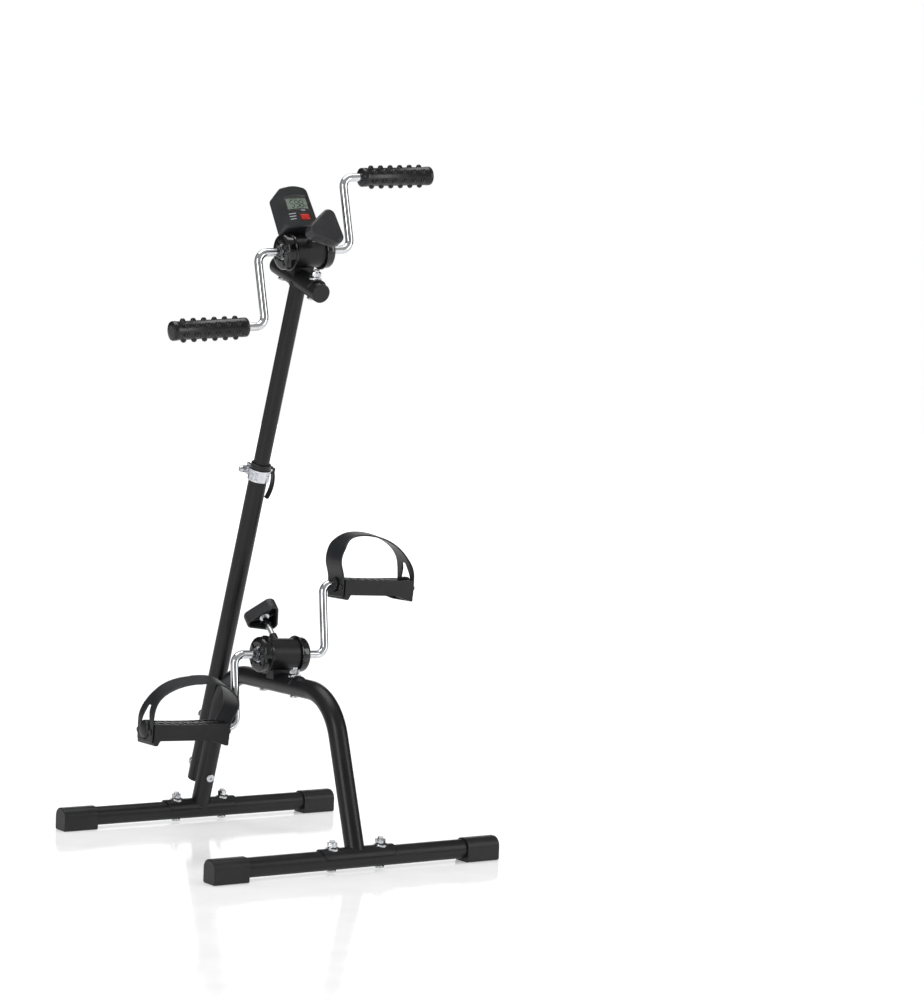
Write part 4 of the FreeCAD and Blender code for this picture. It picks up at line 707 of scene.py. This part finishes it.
def hand_grip(name):
    shapes = [turned(name, GRIP_PROFILE, 64)]
    nub = turned("nub", NUB_PROFILE, 20)
    for ring in range(NUB_RINGS):
        for i in range(NUBS_ROUND):
            place = moved(GRIP_RADIUS - NUB_SINK, 0, NUB_START + ring * NUB_PITCH)
            place = spun("Z", 360 * i / NUBS_ROUND) @ place
            shapes.append(laid(copied(nub, "nub"), place @ spun("Y", 90)))
    bpy.data.objects.remove(nub)
    return merged(name, shapes)


grip = hand_grip("grip")
for side, sign in HUBS["arm"][2].items():
    local = pin_place(ARM_HUB, CRANKS["arm"][side == "right"])
    place = ARM_HUB @ Matrix.Translation((0, local.y, local.z)) @ OUT[sign]
    # One row of nubs points up, as in the photo.
    upward = place.to_3x3().inverted() @ UP
    turn = math.degrees(math.atan2(upward.y, upward.x))
    piece = laid(copied(grip, "hand_grip_" + side), place @ spun("Z", turn))
    dressed(piece, side + "_grip", "grip_rubber", "grip_" + side)
bpy.data.objects.remove(grip)

# %% [markdown]
# ## Monitor
# The case is two moulded shells. What the eye reads first lies on its face: a black sheet
# round the window that is painted shade for the dark recess above the display, the digits,
# the red button in its surround and a few printed lines. Each is a thin piece of its own,
# laid on the rounded face.

# %% Axes of the monitor and its rounded face
BUTTON_WAY = joint_way("monitor_button")
HUB_X = ARM_HUB.col[0].to_3d()
MONITOR_UP = HUB_X.cross(BUTTON_WAY)
MONITOR_AT = (-6.3, 22.5)  # along the hub and up from it
MONITOR = axes(ARM_HUB.translation + (HUB_X * MONITOR_AT[0] + MONITOR_UP * MONITOR_AT[1]) * MM,
               HUB_X, MONITOR_UP)
FACE_RADIUS, FACE_FRONT = 63.75, -33.0


def on_face(piece, lift=0.0):
    """Bends a flat piece, drawn in X and Z at Y zero, onto the rounded face."""
    for corner in piece.data.vertices:
        x = corner.co.x / MM
        corner.co.y += (FACE_FRONT - lift + FACE_RADIUS - math.sqrt(FACE_RADIUS ** 2 - x ** 2)) * MM
    return piece


def bar(name, width, height, depth, at, slices=1):
    """Flat bar on the face, with its front at Y zero, cut across so that it can bend."""
    piece = rounded_box(name, (width, depth, height), 0, (at[0], depth / 2, at[1]))
    bpy.ops.object.mode_set(mode="EDIT")
    for i in range(1, slices):
        cut_at = at[0] - width / 2 + width * i / slices
        bpy.ops.mesh.select_all(action="SELECT")
        bpy.ops.mesh.bisect(plane_co=(cut_at * MM, 0, 0), plane_no=(1, 0, 0))
    bpy.ops.object.mode_set(mode="OBJECT")
    return piece


# %% Painted shade round the window, digits and printed lines
# The black sheet round the window is painted shade: it stands for the shadow in the recess above the display.
PAINTED_SHADE = moulded("painted_shade_round_window", "#0b0b0c", "#101011", 0.3, 0.6, 0.005)
SEGMENT_INK = moulded("liquid_crystal_segment", "#18211b", "#1d2720", 0.5, 0.6, 0.005)
LABEL_INK = moulded("grey_screen_print", "#c4c8cd", "#d0d4d8", 0.5, 0.6, 0.005)
DISPLAY_LOW, DISPLAY_HIGH = local_box("monitor_display", MONITOR)
LENS_LOW, LENS_HIGH = local_box("monitor_lens", MONITOR)
print("display", DISPLAY_LOW.round(1), DISPLAY_HIGH.round(1))
print("window", LENS_LOW.round(1), LENS_HIGH.round(1))
WINDOW_HALF = 18.8
WINDOW_BROW = 2.4  # how far the painted shade stays below the window's upper edge
OVERLAP = 0.6
SHADE_THICK, LINE_THICK, DIGIT_THICK = 0.25, 0.2, 0.12
SHADE_BEHIND = 2.05
left, foot, right, top = DISPLAY_LOW[0], DISPLAY_LOW[2], DISPLAY_HIGH[0], DISPLAY_HIGH[2]
strips = []
for low_x, high_x, low_z, high_z, slices in (
        (-WINDOW_HALF, WINDOW_HALF, top - OVERLAP, LENS_HIGH[2] - WINDOW_BROW, 12),
        (-WINDOW_HALF, WINDOW_HALF, LENS_LOW[2] + OVERLAP, foot + OVERLAP, 12),
        (-WINDOW_HALF, left + OVERLAP, foot, top, 1),
        (right - OVERLAP, WINDOW_HALF, foot, top, 1)):
    centre = ((low_x + high_x) / 2, (low_z + high_z) / 2)
    strips.append(bar("strip", high_x - low_x, high_z - low_z, SHADE_THICK, centre, slices))
window_shade = laid(on_face(merged("window_painted_shade", strips), -SHADE_BEHIND), MONITOR)
dressed(window_shade, "head", "window", finish=PAINTED_SHADE)

SEGMENTS = {"5": "afgcd", "9": "abcdfg", "8": "abcdefg"}
SEGMENT_PLACES = {"a": (0, 2, 1), "b": (1, 1, 0), "c": (1, -1, 0), "d": (0, -2, 1),
                  "e": (-1, -1, 0), "f": (-1, 1, 0), "g": (0, 0, 1)}


def digit(text, at):
    """Seven segment digit, centred on a place on the face."""
    width, height, thick = 5.6, 11.4, 1.5
    parts = []
    for segment in SEGMENTS[text]:
        across, up, flat = SEGMENT_PLACES[segment]
        size = (width - 1.6, thick) if flat else (thick, height / 2 - 1.4)
        centre = (at[0] + across * width / 2, at[1] + up * height / 4)
        parts.append(bar("segment", size[0], size[1], DIGIT_THICK, centre))
    return parts


middle = (top + foot) / 2
digits = sum([digit(text, (x, middle)) for text, x in (("5", -7.5), ("9", 0.2), ("8", 7.9))], [])
digits += [bar("mark", 2.6, 0.9, DIGIT_THICK, (13.6, middle + z)) for z in (-5, -2.6, 4.2)]
in_front = moved(0, DISPLAY_LOW[1] - DIGIT_THICK - 0.02, 0)
digits = laid(merged("display_digits", digits), MONITOR @ in_front)
dressed(digits, "head", "display", finish=SEGMENT_INK)

LINE_TALL, LINE_PROUD = 1.1, 0.06
lines = [bar("line", 10.5 - 0.9 * i, LINE_TALL, LINE_THICK, (-13.6 - 0.2 * i, 22.4 - 4.4 * i), 4)
         for i in range(3)]
lines.append(bar("line", 7.0, LINE_TALL, LINE_THICK, (5.0, 27.2), 2))
lines = laid(on_face(merged("printed_lines", lines), LINE_PROUD), MONITOR)
dressed(lines, "head", "monitor_case", finish=LABEL_INK)

# %% [markdown]
# The button is a soft cushion of red plastic. A shallow surround keeps a finger from pressing
# it by chance, and the gap round the button lets it travel. The surround's dark red is painted
# shade, the shadow that falls round the raised button.

# %% Button and its surround
BUTTON_LOW, BUTTON_HIGH = local_box("monitor_button", MONITOR)
middle = (BUTTON_LOW + BUTTON_HIGH) / 2
size = BUTTON_HIGH - BUTTON_LOW
BUTTON_CROWN = 0.7
button = rounded_box("reset_button", size, 1.4, middle, 4)
for corner in button.data.vertices:
    across = ((corner.co.x / MM - middle[0]) / size[0] * 2) ** 2
    if corner.co.y / MM < middle[1]:
        corner.co.y += BUTTON_CROWN * across * MM
dressed(laid(button, MONITOR), "button", "button", "monitor_button", crease=50)

# Painted shade: the surround's dark red stands for the shadow round the button.
BUTTON_SHADE_RED = moulded("painted_shade_round_button", "#4a1512", "#561a16", 0.4, 0.8, 0.01, 5)


def rounded_ring(half_wide, half_high, corner, y, count=40):
    """Ring of a rounded rectangle in X and Z."""
    ring = []
    for i in range(count):
        angle = 2 * math.pi * (i + 0.5) / count
        x, z = math.cos(angle), math.sin(angle)
        ring.append(Vector((math.copysign(half_wide - corner, x) + corner * x, y,
                            math.copysign(half_high - corner, z) + corner * z)) * MM)
    return ring


BUTTON_GAP, BUTTON_CORNER = 0.35, 2.2
SURROUND_PROFILE = [(0, 2), (0, -0.5), (0.3, -0.8), (1.1, -0.8), (1.5, -0.4), (1.5, 2)]
half_wide, half_high = size[0] / 2 + BUTTON_GAP, size[2] / 2 + BUTTON_GAP
rings = [rounded_ring(half_wide + grow, half_high + grow, BUTTON_CORNER + grow, y)
         for grow, y in SURROUND_PROFILE]
surround = laid(skin("button_surround", rings, joined=True), moved(middle[0], 0, middle[2]))
dressed(laid(on_face(surround), MONITOR), "head", "monitor_case", finish=BUTTON_SHADE_RED)

# %% [markdown]
# Behind, a lid over the cell clips into the rear shell. It stands a little proud, with a
# finger slot along one edge and two catches along the other.

# %% Battery lid
LID_SIZE = (31.0, 1.0, 37.0)
LID_AT = (1.0, 3.35, 33.0)
SLOT_Y = 4.2
lid = rounded_box("battery_lid", LID_SIZE, 0.4, LID_AT)
cut(lid, rounded_box("slot", (1.6, 3.0, 15.0), 0.5, (-11.0, SLOT_Y, 37.0)))
for x in (7.0, 12.5):
    cut(lid, rounded_box("slot", (3.4, 3.0, 1.4), 0.3, (x, SLOT_Y, 18.0)))
dressed(laid(lid, MONITOR), "head", "monitor_case")

# %% [markdown]
# ## Fasteners
# Plated M8 nuts hold the frame together. A real nut has its corners turned off at both
# faces and a countersunk bore. Each is laid where its measured solid sits on a bolt.

# %% Nuts on their bolts
def islands(node):
    """The separate shapes of a measured solid, each as its points."""
    mesh = bmesh.new()
    mesh.from_mesh(frame["nodes"][node].data)
    bmesh.ops.remove_doubles(mesh, verts=mesh.verts, dist=1e-6)
    groups, seen = [], set()
    for start in mesh.verts:
        if start in seen:
            continue
        group = [start]
        seen.add(start)
        for corner in group:
            others = [edge.other_vert(corner) for edge in corner.link_edges]
            group += [other for other in others if other not in seen]
            seen.update(others)
        groups.append([corner.co.copy() for corner in group])
    mesh.free()
    return groups


def upright(points, way):
    """Axes with Z along a bolt and the origin at the foot of a shape on it."""
    heights = [point.dot(way) for point in points]
    middle = sum(points, Vector()) / len(points)
    base = middle + way * (min(heights) - middle.dot(way))
    return axes(base, way.orthogonal(), way), (max(heights) - min(heights)) / MM


def hex_nut(tall):
    across = 13.0
    corner = across / math.sqrt(3)
    return ring_of("nut", [(4.15, 0.5, 0), (4.6, 0.0, 0), (across / 2, 0.0, 0), (corner, 0.75, across),
                           (corner, tall - 0.75, across), (across / 2, tall, 0), (4.6, tall, 0),
                           (4.15, tall - 0.5, 0)])


MAST_OUT = MAST_UP.cross(Vector((1, 0, 0)))
NUT_TURN = 17  # degrees from one nut to the next, since no two are tightened alike
for name, body, ways in (("frame", "base", (UP, MAST_OUT)), ("head", "head", (MAST_UP,))):
    nuts = []
    for points in islands(name + "_nuts"):
        # A nut is thinner along its bolt than across it, so the least height gives the axis.
        place, tall = min((upright(points, way) for way in ways), key=lambda found: found[1])
        nuts.append(laid(hex_nut(tall), place @ spun("Z", NUT_TURN * len(nuts))))
        print(name, "nut", round(tall, 2), "mm tall")
    dressed(merged(name + "_hex_nuts", nuts), body, "zinc", name + "_nuts", crease=30)

# %% [markdown]
# ## Quick release clamp
# The band is chromed strip bent round the mast. Two groups of pressed ribs stiffen it
# beside the ears, and a rivet at the front holds the bush from turning.

# %% Ribs and rivet of the clamp
BAND_LOW, BAND_HIGH = local_box("clamp_band", MAST)
print("clamp band", BAND_LOW.round(1), BAND_HIGH.round(1))
RIB_ANGLES = (193, 200, 207, 220, 227, 234)
RIB_MARGIN, RIB_SLOPE = 2.0, 0.9
RIVET_PROFILE = [(2.9, 0), (2.9, 0.5), (2.6, 1), (1.9, 1.35), (1.3, 1.4), (1.1, 1), (0.3, 0.9)]
RIVET_ANGLE = 292
band_radius = -BAND_LOW[1]
band_middle = (BAND_LOW[2] + BAND_HIGH[2]) / 2
half = (BAND_HIGH[2] - BAND_LOW[2]) / 2 - RIB_MARGIN
RIB_PROFILE = [(0.3, -half), (0.9, -half + RIB_SLOPE), (0.9, half - RIB_SLOPE), (0.3, half)]
shapes = []
for angle in RIB_ANGLES:
    place = moved(*around(band_radius, math.radians(angle), band_middle))
    shapes.append(laid(turned("rib", RIB_PROFILE, 12), place))
place = spun("Z", RIVET_ANGLE) @ moved(band_radius - 0.1, 0, band_middle) @ spun("Y", 90)
shapes.append(laid(turned("rivet", RIVET_PROFILE, 28), place))
dressed(laid(merged("clamp_ribs", shapes), MAST), "base", "clamp_metal")

# %% [markdown]
# ## Welds
# The T bar is welded to the mast all round. The bead follows the line where the two
# tubes meet, with the small ripples that a hand weld leaves.

# %% Weld bead round the mast
MAST_TUBE, BAR_TUBE = 12.5, 14.0
WELD_RADIUS, WELD_STEPS, WELD_SIDES = 1.6, 120, 10
RIPPLE_DEPTH, RIPPLE_STEPS = 0.1, 5


def weld(name, line):
    """Closed bead along a line in millimetres, thick and thin by turns."""
    bead = rod(name, line, WELD_RADIUS, WELD_SIDES, closed=True)
    for number, corner in enumerate(bead.data.vertices):
        ring = number // WELD_SIDES
        centre = line[ring] * MM
        swell = 1.0 + RIPPLE_DEPTH * math.sin(ring * 2 * math.pi / RIPPLE_STEPS)
        corner.co = centre + (corner.co - centre) * swell
    return bead


def seam_point(angle, bar_height):
    """Point on the line where the mast's tube meets the tube of the T bar."""
    drop = math.sqrt(BAR_TUBE ** 2 - (MAST_TUBE * math.cos(angle)) ** 2)
    return around(MAST_TUBE, angle, bar_height - drop)


HEAD_LOW, HEAD_HIGH = local_box("t_bar_cap", MAST)
bar_height = (HEAD_LOW[2] + HEAD_HIGH[2]) / 2
seam = [seam_point(2 * math.pi * i / WELD_STEPS, bar_height) for i in range(WELD_STEPS)]
dressed(laid(weld("head_weld", seam), MAST), "head", "frame_paint", crease=60)

# %% [markdown]
# ## Foot straps
# A strap is moulded flat in soft PVC and bends over the shoe when it is buttoned on.
# It is drawn the same way: a flat sheet is cut to shape, its eye is cut out, and then it
# is laid along a smooth line over the foot. Thickness and rounded edges come last.

# %% Strap line and widths
STRAP_THICK = 2.5
STRAP_SPAN = (-1.55, 122.55)
STRAP_RISE, STRAP_TAIL = 76.0, 19.0
STRAP_HALVES = (23.0, 15.0)
STRAP_FLARES = {"inner": (54.0, 75.0), "outer": (18.0, 54.0)}
STRAP_LEANS = {"left": 0.26, "right": 0.12}
STRAP_LEAN_SPAN = (22.0, 66.0)
STRAP_CORNER = 4.5
EYE_RADIUS = 13.3
EYE_SHOULDER = 5.0
EYE_TIP = (3.6, 35.0)
COLLAR_HOLE = 10.3
STRAP_SHARES = {
    "right": (
        (0, 0), (-0.012, 0.2), (-0.05, 0.42), (-0.02, 0.7), (0.1, 0.93), (0.26, 1), (0.41, 0.995),
        (0.57, 0.945), (0.73, 0.84), (0.875, 0.66), (0.965, 0.44), (1, 0.2), (1, 0)),
    "left": (
        (0, 0), (-0.04, 0.2), (-0.11, 0.45), (-0.085, 0.66), (0.02, 0.83), (0.16, 0.91), (0.35, 0.915),
        (0.55, 0.875), (0.73, 0.78), (0.875, 0.62), (0.965, 0.42), (1, 0.2), (1, 0)),
}
STRAP_ROWS, STRAP_COLUMNS = 96, 10


def spline(points, count):
    """Smooth line through points, read at even steps of its length."""
    points = np.array(points, float)
    gaps = np.linalg.norm(np.diff(points, axis=0), axis=1)
    knots = np.concatenate(([0], np.cumsum(gaps)))
    size = len(points)
    bend = np.eye(size)
    pull = np.zeros_like(points)
    for i in range(1, size - 1):
        bend[i, i - 1:i + 2] = gaps[i - 1], 2 * (gaps[i - 1] + gaps[i]), gaps[i]
        pull[i] = 6 * ((points[i + 1] - points[i]) / gaps[i] - (points[i] - points[i - 1]) / gaps[i - 1])
    curve = np.linalg.solve(bend, pull)
    line = []
    for t in np.linspace(0, knots[-1], count):
        i = min(int(np.searchsorted(knots, t, side="right")) - 1, size - 2)
        h, a, b = gaps[i], knots[i + 1] - t, t - knots[i]
        line.append((curve[i] * a ** 3 + curve[i + 1] * b ** 3) / (6 * h)
                    + (points[i] / h - curve[i] * h / 6) * a
                    + (points[i + 1] / h - curve[i + 1] * h / 6) * b)
    return np.array(line)


def strap_line(side):
    low, high = STRAP_SPAN
    arch = [(low + x * (high - low), z * STRAP_RISE) for x, z in STRAP_SHARES[side]]
    start = [(low, -STRAP_TAIL), (low, -STRAP_TAIL / 2)]
    end = [(high, -STRAP_TAIL / 2), (high, -STRAP_TAIL)]
    return spline(start + arch + end, STRAP_ROWS + 1)


def smooth_step(value, low, high):
    share = min(max((value - low) / (high - low), 0), 1)
    return share * share * (3 - 2 * share)


def strap_half(height, end):
    """Half width of the strap at a height, with rounded corners at its foot."""
    wide, narrow = STRAP_HALVES
    half = wide + (narrow - wide) * smooth_step(height, *STRAP_FLARES[end])
    below = STRAP_CORNER - (height + STRAP_TAIL)
    if below > 0:
        half -= STRAP_CORNER - math.sqrt(max(STRAP_CORNER ** 2 - below ** 2, 0))
    return half


def opening_half(height, outer):
    """Half width of the eye or of the collar hole at a height, nothing outside it."""
    tip, top = EYE_TIP
    if outer and height > 0:
        share = smooth_step(height, EYE_SHOULDER, top)
        return 0 if height > top else EYE_RADIUS + (tip - EYE_RADIUS) * share
    radius = EYE_RADIUS if outer else COLLAR_HOLE
    return math.sqrt(radius ** 2 - height ** 2) if abs(height) < radius else 0


# %% Cut, bend and thicken the straps
def foot_strap(side):
    line = strap_line(side)
    strap = added("foot_strap_" + side, bpy.ops.mesh.primitive_grid_add,
                  x_subdivisions=STRAP_COLUMNS, y_subdivisions=STRAP_ROWS, size=1)
    half_way = STRAP_ROWS / 2

    def row_of(y):
        return (y + 0.5) * STRAP_ROWS

    def in_eye(face):
        at = face.calc_center_median()
        row = row_of(at.y)
        height = float(np.interp(row, range(STRAP_ROWS + 1), line[:, 1]))
        return abs(at.x) < 1 / STRAP_COLUMNS and opening_half(height, row > half_way) > 0

    bpy.ops.object.mode_set(mode="EDIT")
    choose(strap, "FACE", in_eye)
    bpy.ops.mesh.delete(type="FACE")
    bpy.ops.object.mode_set(mode="OBJECT")
    for corner in strap.data.vertices:
        row = round(row_of(corner.co.y))
        column = round(corner.co.x * STRAP_COLUMNS)
        x, z = line[row]
        eye = max(opening_half(z, row > half_way), EYE_TIP[0])
        edge = strap_half(z, "outer" if row > half_way else "inner")
        steps = STRAP_COLUMNS // 2 - 1
        across = min(abs(column), 1) * eye + max(abs(column) - 1, 0) * (edge - eye) / steps
        across = math.copysign(across, column)
        z += STRAP_LEANS[side] * smooth_step(z, *STRAP_LEAN_SPAN) * across * PEDAL_AXES[side].col[1].y
        corner.co = Vector((x, across, z)) * MM
    modify(strap, "SOLIDIFY", thickness=STRAP_THICK * MM, offset=0)
    modify(strap, "SUBSURF", levels=2, render_levels=2)
    laid(strap, PEDAL_AXES[side])
    return dressed(strap, side + "_pedal", "strap_rubber", "strap_" + side, crease=60)


HOLE_RADIUS, HOLE_OUT = 1.3, 17.6
HOLE_HEIGHTS = (16.0, 30.0)


def adjusting_holes(strap, side):
    """Small round holes in the rear half of the strap's outer leg, for other shoe sizes."""
    rear = PEDAL_AXES[side].col[1].y
    for height in HOLE_HEIGHTS:
        drill = turned("drill", [(HOLE_RADIUS, -8.0), (HOLE_RADIUS, 8.0)], 16)
        place = moved(STRAP_SPAN[1] - 0.6, HOLE_OUT * rear, height) @ spun("Y", 90)
        cut(strap, laid(drill, PEDAL_AXES[side] @ place))


foot_strap("left")
adjusting_holes(foot_strap("right"), "right")

# %% [markdown]
# ## Pedal ends
# At the outer end the pedal closes over the spindle in a domed boss that the strap's eye
# buttons round. Its crown is turned as one soft curve, fuller than a plain disc.

# %% Domed boss on each pedal
DOME_PROFILE = [
    (13.1, 120), (13.1, 123.8), (12.9, 125), (12.2, 126.2), (10.9, 127.3), (9, 128.2), (6.4, 128.8),
    (3.4, 129.1), (0.4, 129.2)]
for side, place in PEDAL_AXES.items():
    dome = turned("pedal_dome_" + side, DOME_PROFILE, 64)
    dressed(laid(dome, place @ spun("Y", 90)), side + "_pedal", "pedal_plastic")

# %% [markdown]
# ## Studio
# A white floor and surround and three soft lamps, as in a product studio. The white is
# shown to the camera and in reflections, so the lamps can stay at a plain level. The
# room behind the camera is darker, and that is what draws the edges of chrome.

# %% Camera
CAMERA_AT = (-2.0673, -3.4931, 0.7307)
CAMERA_TURN, CAMERA_PITCH, CAMERA_ROLL = 34.370, -2.993, 1.882
CAMERA_LENS = 99.16


def in_scene(name, data):
    """Puts a camera or a lamp in the scene."""
    thing = bpy.data.objects.new(name, data)
    bpy.context.scene.collection.objects.link(thing)
    return thing


camera_data = bpy.data.cameras.new("camera")
camera_data.lens = CAMERA_LENS
camera_data.sensor_width = 36
camera = in_scene("camera", camera_data)
camera.matrix_world = (Matrix.Translation(CAMERA_AT) @ spun("Z", -CAMERA_TURN)
                       @ spun("X", 90 + CAMERA_PITCH) @ spun("Z", CAMERA_ROLL))
bpy.context.scene.camera = camera
bpy.context.scene.view_settings.view_transform = "Standard"
print("camera", [round(v, 3) for v in camera.location])

# %% Floor
FLOOR_SIZE = 40
FLOOR_NEAR, FLOOR_FAR = 2.0, 7.0
NEAR_LIFT, FAR_LIFT = 0.3, 0.7


def either(tree, one, two):
    """The larger of two values, so that a ray of either kind counts."""
    return add_node(tree, "Math", {0: one, 1: two}, operation="MAXIMUM")


def floor_finish():
    """White gloss laminate that keeps the shadow, lifted more and more with distance."""
    material, tree, place = new_finish("white_gloss_laminate")
    haze = noise(tree, place, 60)
    tone = toned(tree, haze, "#ececec", "#f2f2f2")
    gloss = ranged(tree, haze, 0.09, 0.12)
    shader = add_node(tree, "BsdfPrincipled", {"Base Color": tone, "Roughness": gloss,
                                               "Specular IOR Level": 0.3})
    rays = add_node(tree, "LightPath").outputs
    seen = either(tree, rays["Is Camera Ray"], rays["Is Glossy Ray"])
    seen = either(tree, seen, rays["Is Transmission Ray"])
    reach = add_node(tree, "VectorMath", {0: place}, operation="LENGTH").outputs["Value"]
    share = ranged(tree, reach, NEAR_LIFT, FAR_LIFT, FLOOR_NEAR, FLOOR_FAR)
    lift = add_node(tree, "Math", {0: seen, 1: share}, operation="MULTIPLY")
    glow = add_node(tree, "Emission", {"Color": paint("#ffffff"), "Strength": lift})
    both = add_node(tree, "AddShader", {0: shader, 1: glow})
    add_node(tree, "OutputMaterial", {"Surface": both})
    return material


floor = added("floor", bpy.ops.mesh.primitive_plane_add, size=FLOOR_SIZE)
floor.data.materials.append(floor_finish())

# %% [markdown]
# The camera sees a white surround. Reflections see white behind the object, a dark
# wall beside it, a mid grey room beyond the camera, and bright lamps in front of it.

# %% Surround
TO_CAMERA = (-0.51, -0.857, 0.0)
WORLD_LEVEL = 0.42
ROOM_TONES = ((0.0, "#ffffff"), (0.03, "#ffffff"), (0.08, "#2c2c2e"), (0.28, "#363638"),
              (0.40, "#aaaaa8"), (0.80, "#b6b6b3"), (1.0, "#8e8e8c"))


def surround():
    world = bpy.data.worlds.new("studio_surround")
    bpy.context.scene.world = world
    world.use_nodes = True
    tree = world.node_tree
    tree.nodes.clear()
    way = add_node(tree, "TexCoord").outputs["Generated"]
    toward = add_node(tree, "VectorMath", {0: way, 1: TO_CAMERA}, operation="DOT_PRODUCT")
    share = ranged(tree, toward.outputs["Value"], 0.0, 1.0, -1.0, 1.0)
    room = add_node(tree, "ValToRGB", {0: share}, stops=ROOM_TONES)
    rays = add_node(tree, "LightPath").outputs
    mirrored = either(tree, rays["Is Glossy Ray"], rays["Is Transmission Ray"])
    level = (WORLD_LEVEL, WORLD_LEVEL, WORLD_LEVEL, 1.0)
    seen = add_node(tree, "MixRGB", {"Fac": mirrored, "Color1": level, "Color2": room})
    shown = add_node(tree, "MixRGB", {"Fac": rays["Is Camera Ray"], "Color1": seen,
                                      "Color2": paint("#ffffff")})
    backdrop = add_node(tree, "Background", {"Color": shown})
    add_node(tree, "OutputWorld", {"Surface": backdrop})


surround()

# %% Lamps
AIM = Vector((0, 0, 0.45))


def soft_box(name, place, size, power):
    """Square lamp aimed at the middle of the object."""
    lamp_data = bpy.data.lights.new(name, "AREA")
    lamp_data.shape = "RECTANGLE"
    lamp_data.size, lamp_data.size_y = size
    lamp_data.energy = power
    lamp = in_scene(name, lamp_data)
    lamp.location = place
    lamp.rotation_euler = (AIM - Vector(place)).to_track_quat("-Z", "Y").to_euler()


soft_box("top_soft_box", (0.0, 0.4, 3.0), (2.2, 1.8), 45)
soft_box("left_soft_box", (-3.0, -1.6, 1.6), (1.0, 2.2), 42)
soft_box("right_soft_box", (2.4, -2.6, 1.5), (0.9, 2.0), 24)
